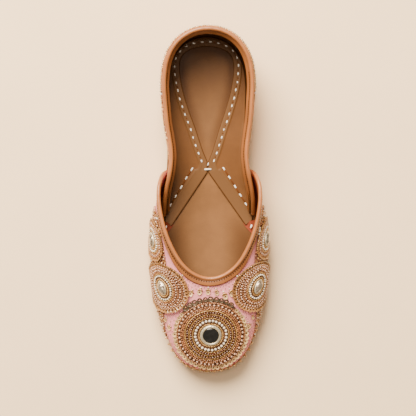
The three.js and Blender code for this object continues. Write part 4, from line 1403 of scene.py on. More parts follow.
# The rings of each medallion, out from its jewel: bead, distance from the centre along the level axis in mm,
# pitch as a share of the bead's width, the bead's scale, and how much slimmer the ring is than the medallion.
MEDALLION_RINGS = {
    "toe_medallion": [
        ("gold", 8.35, 1.0, 0.8, 1), ("pearl", 10.75, 1.16, 1.02, 1), ("gold", 12.75, 0.95, 0.72, 1),
        ("rose", 14.0, 1.0, 0.8, 1), ("gold", 15.25, 0.95, 0.72, 1), ("rose", 16.6, 1.04, 0.85, 1),
        ("gold", 18.0, 0.95, 0.85, 1), ("coral", 19.3, 1.1, 0.88, 1), ("coral", 20.6, 1.15, 0.88, 1),
        ("blush", 22.1, 1.55, 0.95, 1), ("coral", 23.6, 1.15, 0.88, 1), ("sequin", 25.3, 1.0, 1, 1),
    ],
    "front_medallion": [
        ("gold", 6.5, 0.9, 0.85, 0.75), ("pearl", 8.7, 1.1, 0.74, 0.845), ("gold", 10.2, 0.9, 0.8, 0.88),
        ("coral", 11.3, 1.2, 0.78, 0.9), ("blush", 12.5, 1.3, 0.74, 0.93), ("coral", 13.6, 1.25, 0.78, 0.95),
        ("blush", 14.8, 1.4, 0.74, 0.97), ("coral", 15.9, 1.15, 0.8, 0.98), ("blush", 17.0, 1.5, 0.62, 0.99),
        ("amber", 18.4, 0.62, 1.3, 1), ("gold", 19.5, 1.3, 0.85, 1),
    ],
    "rear_medallion": [
        ("gold", 6.4, 0.9, 0.85, 0.92), ("pearl", 8.2, 1.1, 0.74, 0.97), ("gold", 9.5, 0.9, 0.8, 1),
        ("coral", 10.6, 1.1, 0.8, 1), ("blush", 11.8, 1.3, 0.72, 1), ("coral", 12.8, 1.15, 0.8, 1),
        ("amber", 13.9, 0.64, 1.25, 1), ("gold", 14.7, 1.3, 0.85, 1),
    ],
}
JEWEL_LIFT = PAD_GAP + PAD_THICKNESS


def pad_height(share):
    return PAD_GAP + PAD_EDGE + (PAD_THICKNESS - PAD_EDGE) * (1 - share * share)


def oval_ring(half_level, half_upward, pitch, phase=0.0):
    """Angles and distances of places about a pitch apart round an oval."""
    t = np.linspace(0, 2 * np.pi, 721)
    x, y = half_level * np.cos(t), half_upward * np.sin(t)
    travelled = travel(np.stack([x, y], axis=-1))
    count = max(3, int(round(travelled[-1] / pitch)))
    at = (np.arange(count) + phase) % count / count * travelled[-1]
    x, y = np.interp(at, travelled, x), np.interp(at, travelled, y)
    return np.arctan2(y, x), np.hypot(x, y)


class Embroidery:
    """Beads of every kind on one wall."""

    KINDS = ("gold", "pearl", "blush", "coral", "rose", "sequin", "bronze", "amber")
    SHAPE_OF = {"gold": "seed", "coral": "seed", "sequin": "sequin", "bronze": "sequin", "amber": "sequin"}

    def __init__(self, wall, beads, seed):
        self.wall = wall
        self.rows = {kind: Rows(seed + number) for number, kind in enumerate(self.KINDS)}
        self.random = np.random.default_rng(seed)
        seed_width, pearl, sequin = beads.seed_width, beads.pearl_width, beads.sequin_width
        self.widths = {
            "gold": seed_width, "coral": seed_width * 1.07, "rose": 2.15 * MM, "pearl": pearl,
            "blush": pearl * 0.93, "sequin": sequin, "bronze": sequin * 1.05, "amber": sequin * 0.9,
        }

    def put(
            self, kind, around, up, height=0.0, alongs=None, tilt=0.0, tint=None, scale=1.0, jitter=0.0,
            vary=0.05):
        """Sets beads of a kind at places on the wall, at a height of what carries them."""
        around, up = np.atleast_1d(around).astype(float), np.atleast_1d(up).astype(float)
        width = self.widths[kind] * scale
        flat = self.SHAPE_OF.get(kind) == "sequin"
        rise = (0.10 if flat else 0.42) * width
        places = self.wall.point(around, up, height + rise)
        normals = self.wall.normal(around, up)
        if alongs is None:
            alongs = (1.0, 0.3, 0)
            if len(places) > 2:
                alongs = np.roll(places, -1, axis=0) - np.roll(places, 1, axis=0)
        alongs = np.broadcast_to(alongs, places.shape)
        if tilt or flat:
            lean = tilt + self.random.uniform(-0.12, 0.12, (len(places), 1))
            aside = unit(np.cross(normals, alongs))
            normals = unit(normals + aside * lean)
        self.rows[kind].add(places, normals, alongs, width, tint=tint, jitter=jitter, vary=vary)

    def ring(self, chart, kind, at, aspect, spacing, pad_half=None, phase=0.0, turned=0.0, **options):
        width = self.widths[kind] * options.get("scale", 1.0)
        angle, distance = oval_ring(at, at * aspect, width * spacing, phase)
        around, up = chart.place(angle + turned, distance)
        height = 0.0 if pad_half is None else pad_height(min(1.0, at / pad_half))
        self.put(kind, around, up, height, **options)

    def row(self, kind, start_up, distance, spacing, low, high, **options):
        """A row along the wall, at a distance from its foot or its top edge."""
        around, up = level_row(self.wall, start_up, distance * MM, self.widths[kind] * spacing, low, high)
        self.put(kind, around, up, **options)

    def foot_rows(self, reach):
        for kind, distance, spacing in (("gold", 1.6, 1.05), ("coral", 3.0, 1.25), ("gold", 4.3, 1.1)):
            self.row(kind, 0, distance, spacing, -reach, reach, jitter=0.12 * MM)

    def cluster(self, at, beads):
        """Beads round a place on the wall, each with its way off in mm, its height in mm and its scale."""
        level, _, _ = self.wall.directions(*at)
        for kind, right, above, height, scale in beads:
            place = beside(self.wall, *at, right * MM, above * MM)
            self.put(kind, *place, height * MM, alongs=level, scale=scale)

    def finish(self, prefix, finishes):
        """Turns every kind's rows into a piece."""
        for kind in self.KINDS:
            if self.rows[kind].places:
                shape = self.SHAPE_OF.get(kind, "ball")
                strew(f"{prefix}_{kind}_beads", self.rows[kind], shape, finishes[kind])


def bead_finishes(beads):
    return {
        "gold": bead_finish("gold_plate", beads.gold, 0.35, metal=0.45, roughness=0.28, coat=0.5),
        "pearl": bead_finish("white_pearl", beads.pearl, 0.14, roughness=0.16, coat=0.8),
        "blush": bead_finish("pink_pearl", beads.blush, 0.22, roughness=0.16, coat=0.8),
        "coral": bead_finish("coral_glass", beads.coral, 0.35, roughness=0.2, coat=0.7),
        "rose": bead_finish("rose_glass", beads.rose, 0.35, roughness=0.1, coat=1.0, glow=0.3),
        "sequin": bead_finish("pale_sequin", beads.sequin, 0.2, metal=0.15, roughness=0.3, coat=0.5),
        "bronze": bead_finish("dark_sequin", beads.bronze, 0.4, metal=0.55, roughness=0.22, coat=0.5),
        "amber": bead_finish("amber_sequin", beads.amber, 0.35, metal=0.05, roughness=0.25, coat=0.6),
    }


def pad_piece(name, chart, half_level, half_upward, finish):
    """A padded oval of backing cloth under a medallion, domed, with its rim turned down to the wall."""
    shares, under = np.array([0.12, 0.25, 0.4, 0.55, 0.7, 0.82, 0.92, 0.97, 1.0]), 0.15 * MM
    angle = np.arange(chart.spokes) * 2 * np.pi / chart.spokes
    reach = 1 / np.hypot(np.cos(angle) / half_level, np.sin(angle) / half_upward)
    rings = []
    for share in shares:
        around, up = chart.place(angle, share * reach)
        down = (0.3 if share > 0.98 else 0.0) * MM
        rings.append(chart.wall.point(around, up, pad_height(share) - down))
    for share in (0.995, 0.5):
        around, up = chart.place(angle, reach * share)
        rings.append(chart.wall.point(around, up, under))
    ends = np.stack([chart.wall.point(*chart.centre, height) for height in (pad_height(0), under)])
    points, faces = tube(np.stack(rings), ends)
    return add_piece(name + "_pad", points, faces, finish, "beadwork", (name,), sharp=60)


def jewel_seat(around, up, lean=0.0):
    """Gives what sets a jewel's points on the vamp: X level, Y up the wall and Z out of it, turned by a lean."""
    _, upward, normal = vamp.directions(around, up)
    level = np.cross(upward, normal)
    turn = np.stack([level, upward, normal], axis=-1) @ np.array([
        [math.cos(lean), -math.sin(lean), 0], [math.sin(lean), math.cos(lean), 0], [0, 0, 1]])
    place = vamp.point(around, up, JEWEL_LIFT)
    return lambda points: np.asarray(points) @ turn.T + place


# The mirror's half section beyond its dome, as a share of its radius and in mm up; then the rim's, as a share
# of its width and in mm up, with the number and height in mm of its beads; then the stones' setting.
MIRROR_DOME = [(share, 1.35 - 0.35 * share**2) for share in (0.001, 0.25, 0.5, 0.75, 0.88)]
MIRROR_EDGE = [(0.95, 0.95), (1.0, 0.7), (1.0, 0.05), (0.001 * MM / MIRROR_RADIUS, 0.05)]
RIM_SECTION = [
    (0, 0.02), (1, 0.02), (1.0, 0.5), (0.88, 0.9), (0.66, 1.25), (0.42, 1.42), (0.2, 1.38), (0.04, 1.15),
    (0, 0.9), (0, 0.02),
]
RIM_BEADS, RIM_BEAD_HEIGHT = 24, 0.10
SETTING_SECTION = [(0.86, 0.0), (1.0, 0.0), (1.0, 0.75), (0.94, 1.15), (0.87, 1.2), (0.84, 0.95), (0.86, 0.0)]

# The stones are cut a little longer and slimmer than their solids, with pointed ends.
CUT_LENGTH = STONE_HALF_LENGTH + 0.8 * MM
CUT_WIDTH = STONE_HALF_WIDTH - 0.4 * MM
CUT_POINT = 0.3
CUT_SIDES = 16
# A stone's levels: how far out as a share, how high in mm, and how far round in sides.
CUT_LEVELS = ((1.0, 0.05, 0.0), (1.0, 0.95, 0.0), (0.8, 1.75, 0.5), (0.5, 2.45, 0.0))
# Each facet has a painted reflection of its own, a tint between dark and pale, and the table this one.
TABLE_REFLECTION = 0.62


def cut_stone():
    """A girdle, two rows of facets above it and a flat table."""
    angles = np.arange(CUT_SIDES) * 2 * np.pi / CUT_SIDES
    rings = []
    for out, height, twist in CUT_LEVELS:
        swing = angles + twist * 2 * np.pi / CUT_SIDES
        rings.append(np.stack([
            out * (CUT_LENGTH - 0.45 * MM) * np.cos(swing),
            out * (CUT_WIDTH - 0.4 * MM) * np.sin(swing) * np.abs(np.sin(swing)) ** CUT_POINT,
            np.full(CUT_SIDES, height * MM)], axis=-1))
    faces = grid_faces(2, CUT_SIDES, wrap=True).tolist()
    for low in (1, 2):
        below, above = low * CUT_SIDES, (low + 1) * CUT_SIDES
        back = low - 1
        for side in range(CUT_SIDES):
            a, b = below + side, below + (side + 1) % CUT_SIDES
            c, d = above + (side + back) % CUT_SIDES, above + (side + back - 1) % CUT_SIDES
            faces += [[a, b, c], [a, c, d]]
    faces += [list(range(CUT_SIDES))[::-1], list(range(3 * CUT_SIDES, 4 * CUT_SIDES))]
    return np.concatenate(rings), faces


def stone_setting():
    """The gold wall that stands round a stone."""
    points, faces = lathe([(CUT_LENGTH * out, up * MM) for out, up in SETTING_SECTION], 64)
    point = np.abs(np.sin(np.arctan2(points[:, 1], points[:, 0]))) ** CUT_POINT
    points[:, 1] *= CUT_WIDTH / CUT_LENGTH * point
    return points, faces


def mirror_rim():
    """The toe mirror's rim, beaded along its top."""
    inner = MIRROR_RADIUS + 0.05 * MM
    width = BEZEL_WIDTH + SEAM_GAP - 0.05 * MM
    points, faces = lathe([(inner + out * width, up * MM) for out, up in RIM_SECTION], 96)
    angle = np.arctan2(points[:, 1], points[:, 0])
    crown = np.clip((np.hypot(points[:, 0], points[:, 1]) - inner) / width, 0, 1) * (points[:, 2] > 0.4 * MM)
    points[:, 2] += RIM_BEAD_HEIGHT * MM * np.cos(angle * RIM_BEADS) * crown
    return points, faces


class ADD_OT_mojari_jewels(bpy.types.Operator):
    """Round mirror in its rim on the toe, and four cut stones in gold settings"""
    bl_idname = "mojari.add_jewels"
    bl_label = "Mirror and stones"

    def execute(self, context):
        jewels = context.scene.mojari_jewels
        glass = Finish("dark_mirror", Metallic=0.9, Coat_Weight=0.6, Coat_Roughness=0.04)
        haze = glass.noise(2.5 * MM, detail=4)
        scratches = glass.noise(0.5 * MM, detail=3, stretch=(0.15, 2, 1))
        tone = glass.mottle(haze, 0.35, 0.75, jewels.glass, 0.85, 1.25)
        mirror_finish = glass.paint(
            tone, glass.ramp(haze, 0.4, 0.8, 0.10, 0.26), glass.bump(scratches, 0.01 * MM, 0.3))
        rim = Finish("pale_rim", Metallic=0.55, Coat_Weight=0.3)
        ticks = rim.noise(0.7 * MM, detail=3)
        # Painted shade and highlight: the rim is darker in its dents and paler on its bumps, following the ticks'
        # bump.
        tone = rim.mottle(ticks, 0.35, 0.7, jewels.rim, 0.7, 1.15)
        rim_finish = rim.paint(tone, rim.ramp(ticks, 0.3, 0.7, 0.25, 0.45), rim.bump(ticks, 0.06 * MM, 0.6))
        crystal = Finish("cut_crystal", Metallic=0.55, Coat_Weight=1.0, Coat_Roughness=0.02, IOR=1.6)
        cloud = crystal.noise(3 * MM, detail=3)
        # Painted reflections: each facet is dark or pale by its tint, the light that a cut stone's facets catch
        # or miss.
        tone = crystal.mix(crystal.mark("tint"), (0.06, 0.032, 0.018), shade(jewels.crystal, 1.1))
        tone = crystal.mix(crystal.ramp(cloud, 0.45, 0.7, 0, 0.35), tone, (0.5, 0.30, 0.2))
        crystal_finish = crystal.paint(tone, crystal.ramp(cloud, 0.3, 0.8, 0.05, 0.12))

        toe = MEDALLIONS[0]
        seat = jewel_seat(toe["around"], toe["up"])
        profile = [(MIRROR_RADIUS * share, up * MM) for share, up in MIRROR_DOME + MIRROR_EDGE]
        for name, (points, faces), finish, slot, cad, sharp in (
            ("toe_mirror_glass", lathe(profile, 64), mirror_finish, "jewel_mirror", ("toe_mirror",), 40),
            ("toe_mirror_rim", mirror_rim(), rim_finish, "jewel_rim", ("toe_bezel",), 60),
        ):
            add_piece(name, seat(points), faces, finish, slot, cad, sharp=sharp)

        random = np.random.default_rng(5)
        for medallion in MEDALLIONS[1:]:
            for side, suffix in ((-1, "_left"), (1, "_right")):
                seat = jewel_seat(side * medallion["around"], medallion["up"], side * medallion["lean"])
                name = medallion["name"].replace("medallion", "stone") + suffix
                points, faces = cut_stone()
                piece = add_piece(
                    name + "_crystal", seat(points), faces, crystal_finish, "crystal", (name,), smooth=False)
                # Painted reflections: a random tint for each facet.
                tint = piece.data.attributes.new("tint", "FLOAT", "FACE")
                values = random.beta(0.9, 0.9, len(piece.data.polygons)).astype(np.float32)
                values[-1] = TABLE_REFLECTION
                tint.data.foreach_set("value", values)
                points, faces = stone_setting()
                add_piece(name + "_setting", seat(points), faces, rim_finish, "jewel_rim", sharp=60)
        return {"FINISHED"}


def level_row(wall, start_up, distance, pitch, low, high):
    """Places about a pitch apart along a wall, at a distance from its foot (start_up 0) or top edge (1)."""
    around = np.linspace(low, high, 260)
    up = np.full(len(around), float(start_up))
    _, heading = wall.slopes(around, up)
    heading = unit(heading) * (1 if start_up < 0.5 else -1)
    around, up = wall.walk(around, up, heading, [distance])[0]
    travelled = travel(wall.outer(around, up))
    count = max(2, int(round(travelled[-1] / pitch)) + 1)
    at = np.linspace(0, travelled[-1], count)
    return np.interp(at, travelled, around), np.interp(at, travelled, up)


def beside(wall, around, up, right, above):
    """The place a little way off on a wall, in metres level towards +around and up."""
    level, upward, _ = wall.directions(around, up)
    slopes = np.stack(wall.slopes(around, up), axis=-1)
    moved, *_ = np.linalg.lstsq(slopes, level * right + upward * above, rcond=None)
    return around + moved[0], up + moved[1]


def scattered(wall, spacing, low, high, keep, random, tries):
    """Places at least a spacing apart on a wall between two heights, where keep says so."""
    around = random.uniform(low[0], high[0], tries)
    up = random.uniform(low[1], high[1], tries)
    along_around, along_up = wall.slopes(around, up)
    area = np.linalg.norm(np.cross(along_around, along_up), axis=1)
    chosen = (random.uniform(0, 1, tries) < area / area.max()) & keep(around, up)
    around, up = around[chosen], up[chosen]
    points = wall.outer(around, up)
    cells, kept = {}, []
    for number, point in enumerate(points):
        cell = tuple(np.floor(point / spacing).astype(int))
        near = (
            other
            for dx in (-1, 0, 1) for dy in (-1, 0, 1) for dz in (-1, 0, 1)
            for other in cells.get((cell[0] + dx, cell[1] + dy, cell[2] + dz), ())
        )
        if all(np.dot(point - points[other], point - points[other]) >= spacing**2 for other in near):
            cells.setdefault(cell, []).append(number)
            kept.append(number)
    return around[kept], up[kept]


# Small flowers on the pink ground of the vamp: X and Y in mm in the frame, and their size.
FLOWERS = [
    (-13.6, -65.2, 1.0), (-7.7, -64.3, 1.0), (-1.6, -63.6, 1.0), (4.5, -65.0, 0.9), (10.1, -67.0, 1.1),
    (15.1, -65.6, 1.15), (19.7, -72.4, 1.0), (21.0, -55.4, 1.2), (-21.2, -54.0, 1.0), (-18.8, -71.0, 0.9),
    (-29.2, -89.4, 0.9), (26.9, -89.4, 0.9), (-31.4, -84.0, 0.7), (29.8, -83.2, 0.7), (-24.6, -99.5, 0.8),
    (24.2, -99.8, 0.8),
]


def ground_share(around, up):
    """Where the vamp is closely beaded between its side medallions: 1 well inside, fading to 0 at its edges."""
    away = np.abs(around)
    edge_room = np.where(away < 0.47, 1 - 0.13 - 0.1 * smooth_step(0.47, 0.2, away), 0.86)
    side = smooth_step(0, 0.02, away - 0.155 - 0.05 * smooth_step(0.3, 0.9, up))
    ears = smooth_step(0, 0.02, 0.60 - 0.05 * smooth_step(0.3, 0.9, up) - away)
    return side * ears * smooth_step(0, 0.03, edge_room - up) * smooth_step(0.10, 0.13, up)


BRONZE_SCALE = 1.22
# A flower's beads: bead, how far to the right and up the wall in mm, height in mm and scale.
FLOWER_BEADS = (
    ("sequin", 0, -0.9, 0.0, 0.86), ("rose", 0, -0.9, 0.1, 0.34), ("gold", 0, 0.9, 0.0, 0.95),
    ("coral", -0.95, 0.5, 0.0, 0.8), ("coral", 0.95, 0.5, 0.0, 0.8), ("pearl", 0, 2.0, 0.0, 0.45),
)
FLOWER_SCALE = 1.25


class ADD_OT_mojari_vamp_beads(bpy.types.Operator):
    """Beaded medallions on their pads, flowers, bead ground and picots of the vamp"""
    bl_idname = "mojari.add_vamp_beads"
    bl_label = "Vamp embroidery"

    def execute(self, context):
        beads = context.scene.mojari_beads
        work = Embroidery(vamp, beads, 101)
        backing = cloth_backing("medallion_backing", beads.rose)
        discs = []
        for medallion in MEDALLIONS:
            sides = ((1, ""),) if medallion["around"] == 0 else ((-1, "_left"), (1, "_right"))
            for side, suffix in sides:
                name = medallion["name"]
                half, tall = medallion["level"] * BALL_HALF, medallion["upward"] * BALL_HALF
                chart = Chart(vamp, side * medallion["around"], medallion["up"], half + 3 * MM)
                pad_piece(name + suffix, chart, half, tall, backing)
                discs.append((chart, half, tall))
                for number, (kind, at, spacing, scale, slim) in enumerate(MEDALLION_RINGS[name]):
                    phase = 0.37 * number
                    if kind == "sequin":
                        self.sequin_ring(work, chart, at * MM, tall / half, spacing)
                        continue
                    tilt = 0.28 if kind == "amber" else 0.0
                    work.ring(
                        chart, kind, at * MM, tall / half * slim, spacing, half, phase, tilt=tilt, scale=scale,
                        turned=side * medallion["lean"] * smooth_step(half, half * 0.6, at * MM),
                        jitter=(0.12 if kind in ("gold", "pearl", "rose") else 0.22) * MM)
        self.ground(work, discs)
        self.flowers(work)
        self.edges(work)
        work.finish("vamp", bead_finishes(beads))
        return {"FINISHED"}

    def sequin_ring(self, work, chart, at, aspect, spacing):
        pale, dark = work.widths["sequin"], work.widths["bronze"] * BRONZE_SCALE
        for kind, reach, pitch, low, high, centre in (
            ("sequin", at, pale * spacing, 137, 408, "rose"),
            ("bronze", at + 1.4 * MM, dark * 0.94, 50, 139, "gold"),
        ):
            angle, distance = oval_ring(reach, reach * aspect, pitch)
            far = (np.degrees(angle) - low) % 360
            angle, distance = angle[far < high - low], distance[far < high - low]
            around, up = chart.place(angle, distance)
            level, upward, _ = vamp.directions(around, up)
            alongs = -np.sin(angle)[:, None] * level + np.cos(angle)[:, None] * upward
            scale = BRONZE_SCALE if kind == "bronze" else 1.0
            lift = pad_height(0.95)
            work.put(kind, around, up, lift, alongs=alongs, tilt=0.22, jitter=0.25 * MM, vary=0.09, scale=scale)
            work.put(centre, around, up, lift + 0.1 * MM, scale=0.4 if centre == "rose" else 0.7)

    def ground(self, work, discs):
        """Closely set beads between the side medallions, thinning to the pink cloth near the toe and throat."""

        def clear(around, up, margin):
            points = vamp.outer(around, up)
            free = np.ones(len(points), bool)
            for chart, half, tall in discs:
                free &= chart.shares(points, half, tall) > 1 + margin / half
            return free

        def dense(around, up):
            keep = ground_share(around, up) > 0.5
            keep[keep] = clear(around[keep], up[keep], 0.6 * MM)
            return keep

        around, up = scattered(vamp, 1.32 * MM, (-0.62, 0.12), (0.62, 0.95), dense, work.random, 42000)
        clump = np.sin(around * 41 + 2 * up) * np.cos(up * 13 + around * 9)
        clump = clump + work.random.uniform(-0.9, 0.9, len(up))
        kinds = np.select(
            [clump > 0.95, clump > 0.45, clump > 0.0, clump > -0.45, clump > -0.8],
            ["amber", "blush", "gold", "coral", "gold"], "pearl")
        turn = work.random.uniform(0, 2 * np.pi, len(up))
        alongs = np.stack([np.cos(turn), np.sin(turn), 0.2 * np.sin(turn * 3)], axis=-1)
        for kind in ("amber", "blush", "gold", "coral", "pearl"):
            chosen = kinds == kind
            scale = {"amber": 0.8, "blush": 0.8, "pearl": 0.7}.get(kind, 0.95)
            lift = work.random.uniform(0, 0.5, chosen.sum()) * MM
            work.put(
                kind, around[chosen], up[chosen], lift, alongs=alongs[chosen], scale=scale, tilt=0.15, vary=0.15)

        def sparse(around, up):
            away = np.abs(around)
            keep = (away < 0.2) & (up < 0.86) & (up > 0.16) & ~dense(around, up)
            keep[keep] = clear(around[keep], up[keep], 1.5 * MM)
            return keep

        around, up = scattered(vamp, 2.9 * MM, (-0.2, 0.15), (0.2, 0.93), sparse, work.random, 5000)
        work.put("blush", around, up, 0.0, alongs=(1.0, 0.2, 0.0), scale=0.42)

    def flowers(self, work):
        around, up = np.meshgrid(np.linspace(-0.45, 0.45, 361), np.linspace(0.1, 0.98, 89), indexing="ij")
        seen = vamp.normal(around, up)[..., 2] > 0.1
        around, up = around[seen], up[seen]
        plan = vamp.outer(around, up)[:, :2] + np.array([0, ALONG_SHIFT])
        for x, y, size in FLOWERS:
            nearest = np.argmin(np.linalg.norm(plan - np.array([x, y]) * MM, axis=1))
            large = size * FLOWER_SCALE
            work.cluster((around[nearest], up[nearest]), (
                (kind, right * large, above * large, height, scale * large)
                for kind, right, above, height, scale in FLOWER_BEADS))
        for distance, pitch, scale in ((5.6, 2.3, 0.36), (8.1, 3.1, 0.4)):
            row = level_row(vamp, 1, distance * MM, pitch * MM, -0.15, 0.15)
            work.put("blush", *row, 0.0, scale=scale, jitter=0.25 * MM)

    def edges(self, work):
        """Rows along the foot of the vamp, with picots that stand out round the toe."""
        work.foot_rows(0.8)
        around, up = level_row(vamp, 0, 7.6 * MM, 4.9 * MM, -0.42, 0.42)
        for at in zip(around, up):
            swing = work.random.uniform(-0.3, 0.3)
            work.cluster(at, (
                ("gold", -0.8, 0, 0.0, 0.9), ("gold", 0.8, 0, 0.0, 0.9), ("amber", 0, 0.4 + swing, 0.45, 0.75),
                ("gold", 0, 0.3, 1.15, 0.9)))
        for side in (-1, 1):
            around, up = level_row(vamp, 0, 7.6 * MM, 3.4 * MM, side * 0.44, side * 0.62)
            work.put("blush", around, up, 0.0, scale=0.8)


def cloth_backing(name, colour):
    """Stiffened backing cloth between and under the beads, couched with gold-brown thread, and dyed dark so that
    the gaps between the beads read as shade: partly painted shade.
    """
    finish = Finish(name, Sheen_Weight=0.2, Specular_IOR_Level=0.3)
    threads = finish.noise(0.45 * MM, detail=3)
    patches = finish.noise(5 * MM, detail=2)
    # Kept dark: partly painted shade between the beads.
    dye = finish.mottle(patches, 0.3, 0.7, colour, 0.45, 0.9)
    dye = finish.mix(finish.ramp(threads, 0.5, 0.7, 0, 0.5), dye, (0.28, 0.13, 0.05))
    return finish.paint(dye, finish.ramp(threads, 0.3, 0.7, 0.6, 0.8), finish.bump(threads, 0.1 * MM, 0.8))


QUARTER_ROUNDELS = [(0.0, 0.52, 9.0), (0.2, 0.5, 8.4), (-0.2, 0.5, 8.4), (0.385, 0.47, 7.2), (-0.385, 0.47, 7.2)]
ROUNDEL_RINGS = [
    ("gold", 0.24, 1.0), ("pearl", 0.45, 1.02), ("gold", 0.64, 1.0), ("coral", 0.79, 1.05), ("blush", 0.96, 1.3)]


class ADD_OT_mojari_quarter_beads(bpy.types.Operator):
    """Bead rows, roundels and bead ground on the outside of the quarter"""
    bl_idname = "mojari.add_quarter_beads"
    bl_label = "Quarter embroidery"

    def execute(self, context):
        work = Embroidery(quarter, context.scene.mojari_beads, 303)
        for kind, distance, spacing, reach in (
            ("gold", 1.5, 1.0, 0.34), ("pearl", 3.2, 1.05, 0.35), ("gold", 4.9, 1.0, 0.37),
            ("sequin", 7.4, 0.98, 0.42), ("gold", 9.9, 1.05, 0.6),
        ):
            tilt = 0.2 if kind == "sequin" else 0.0
            work.row(kind, 1, distance, spacing, -reach, reach, jitter=0.15 * MM, tilt=tilt)
        work.foot_rows(0.6)
        discs = []
        for around, up, radius in QUARTER_ROUNDELS:
            chart = Chart(quarter, around, up, radius * MM + 2 * MM)
            discs.append((chart, radius * MM + 0.9 * MM))
            work.put("sequin", around, up, 0.0, alongs=(1, 0, 0.1))
            for number, (kind, share, spacing) in enumerate(ROUNDEL_RINGS):
                work.ring(chart, kind, radius * share * MM, 1.0, spacing, phase=0.3 * number, jitter=0.15 * MM)

        def open_ground(around, up):
            keep = (np.abs(around) < 0.6 - 0.08 * up) & (up > 0.14)
            points = quarter.outer(around[keep], up[keep])
            free = np.ones(len(points), bool)
            for chart, radius in discs:
                free &= chart.shares(points, radius, radius) > 1.0
            keep[keep] = free
            return keep

        around, up = scattered(quarter, 1.9 * MM, (-0.6, 0.12), (0.6, 0.77), open_ground, work.random, 12000)
        pick = work.random.uniform(0, 1, len(up))
        turn = work.random.uniform(0, 2 * np.pi, len(up))
        alongs = np.stack([np.cos(turn), np.sin(turn), np.sin(turn * 2)], axis=-1)
        for kind, low, high in (
            ("gold", 0, 0.42), ("coral", 0.42, 0.62), ("blush", 0.62, 0.8), ("amber", 0.8, 0.9),
        ):
            chosen = (pick >= low) & (pick < high)
            work.put(kind, around[chosen], up[chosen], 0.0, alongs=alongs[chosen], scale=0.85, vary=0.15)
        work.finish("quarter", bead_finishes(context.scene.mojari_beads))
        return {"FINISHED"}


# Stage, in metres and degrees: the floor, where the camera stands and how it turns, and the light.
FLOOR_HALF = 1.6
SENSOR_WIDTH = 36
CAMERA_ASIDE = -49.25 * MM
CAMERA_ALONG = -5.55 * MM
CAMERA_AIM = 0.0
CAMERA_ROLL = -0.75
WORLD_COLOUR = (1.0, 0.88, 0.76, 1)
WORLD_STRENGTH = 0.26
LAMPS = [
    ("key_softbox", (-0.38, 1.0, 1.2), (0, 0, 0.02), 1.15, 118.0, (1.0, 0.88, 0.74)),
    ("overhead_softbox", (-0.1, 0.1, 1.9), (0, -0.02, 0.02), 0.9, 13.0, (1.0, 0.88, 0.74)),
]


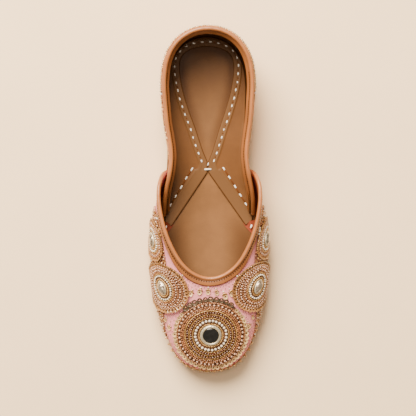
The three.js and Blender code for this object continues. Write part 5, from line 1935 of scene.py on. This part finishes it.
class ADD_OT_mojari_stage(bpy.types.Operator):
    """Plain pale floor, soft studio light and the camera above the shoe"""
    bl_idname = "mojari.add_stage"
    bl_label = "Stage"

    def execute(self, context):
        stage = context.scene.mojari_stage
        corners = [(x * FLOOR_HALF, y * FLOOR_HALF, 0) for x, y in ((-1, -1), (1, -1), (1, 1), (-1, 1))]
        mesh = build_mesh("studio_floor", corners, [(0, 1, 2, 3)], None, smooth=False, closed=False)
        finish = Finish("floor_paint", Specular_IOR_Level=0.2)
        patches = finish.noise(60 * MM, detail=4)
        tooth = finish.noise(0.8 * MM, detail=3)
        tone = finish.mottle(patches, 0.3, 0.7, stage.floor, 0.985, 1.01)
        rough = finish.ramp(tooth, 0.3, 0.7, 0.75, 0.85)
        mesh.materials.append(finish.paint(tone, rough, finish.bump(tooth, 0.05 * MM, 0.3)))
        add_object("studio_floor", mesh)

        world = bpy.data.worlds.new("studio_air")
        world.use_nodes = True
        air = world.node_tree.nodes["Background"].inputs
        air["Color"].default_value, air["Strength"].default_value = WORLD_COLOUR, WORLD_STRENGTH
        context.scene.world = world
        for name, place, aim, size, power, tone in LAMPS:
            lamp = bpy.data.lights.new(name, "AREA")
            lamp.shape, lamp.size, lamp.energy, lamp.color = "DISK", size, power, tone
            holder = bpy.data.objects.new(name, lamp)
            holder.location = place
            holder.rotation_euler = (Vector(aim) - Vector(place)).to_track_quat("-Z", "Y").to_euler()
            context.scene.collection.objects.link(holder)

        camera = bpy.data.cameras.new("studio_camera")
        camera.sensor_width = SENSOR_WIDTH
        camera.lens = camera.sensor_width * stage.camera_height / stage.view_width
        camera.clip_start, camera.clip_end = 0.01, 20
        holder = bpy.data.objects.new("studio_camera", camera)
        place = Vector((CAMERA_ASIDE, CAMERA_ALONG, stage.camera_height))
        aim = Vector((CAMERA_AIM, CAMERA_ALONG, 0))
        away = (place - aim).normalized()
        right = Vector((0, 1, 0)).cross(away).normalized()
        turn = Matrix((right, away.cross(right), away)).transposed().to_quaternion()
        holder.rotation_mode = "QUATERNION"
        holder.rotation_quaternion = turn @ Quaternion((0, 0, 1), math.radians(CAMERA_ROLL))
        holder.location = place
        context.scene.collection.objects.link(holder)
        context.scene.camera = holder
        return {"FINISHED"}


STEPS = (
    ADD_OT_mojari_stage, ADD_OT_mojari_sole, ADD_OT_mojari_insole, ADD_OT_mojari_yoke, ADD_OT_mojari_upper,
    ADD_OT_mojari_bindings, ADD_OT_mojari_jewels, ADD_OT_mojari_vamp_beads, ADD_OT_mojari_quarter_beads,
)
GROUPS = {
    "mojari_leather": MojariLeather, "mojari_cloth": MojariCloth, "mojari_beads": MojariBeads,
    "mojari_jewels": MojariJewels, "mojari_stitches": MojariStitches, "mojari_stage": MojariStage,
}
SHAPES = {}


class VIEW3D_PT_mojari(bpy.types.Panel):
    """Lists the shoe's pieces and their sizes and colours"""
    bl_idname = "VIEW3D_PT_mojari"
    bl_label = "Mojari shoe"
    bl_space_type = "VIEW_3D"
    bl_region_type = "UI"
    bl_category = "Mojari"

    def draw(self, context):
        for name, group in GROUPS.items():
            box = self.layout.box()
            box.label(text=name.replace("_", " ").capitalize())
            for size_or_colour in group.__annotations__:
                box.prop(getattr(context.scene, name), size_or_colour)
        for step in STEPS:
            self.layout.operator(step.bl_idname)


def register():
    for made in (*GROUPS.values(), *STEPS, VIEW3D_PT_mojari):
        bpy.utils.register_class(made)
    for name, group in GROUPS.items():
        setattr(bpy.types.Scene, name, bpy.props.PointerProperty(type=group))


def unregister():
    for name in GROUPS:
        delattr(bpy.types.Scene, name)
    for made in (VIEW3D_PT_mojari, *reversed(STEPS), *reversed(GROUPS.values())):
        bpy.utils.unregister_class(made)


def main():
    register()
    SHAPES.update(make_shapes())
    for step in STEPS:
        group, name = step.bl_idname.split(".")
        getattr(getattr(bpy.ops, group), name)()
    for shape in SHAPES.values():
        bpy.data.objects.remove(shape)


if __name__ == "__main__":
    main()
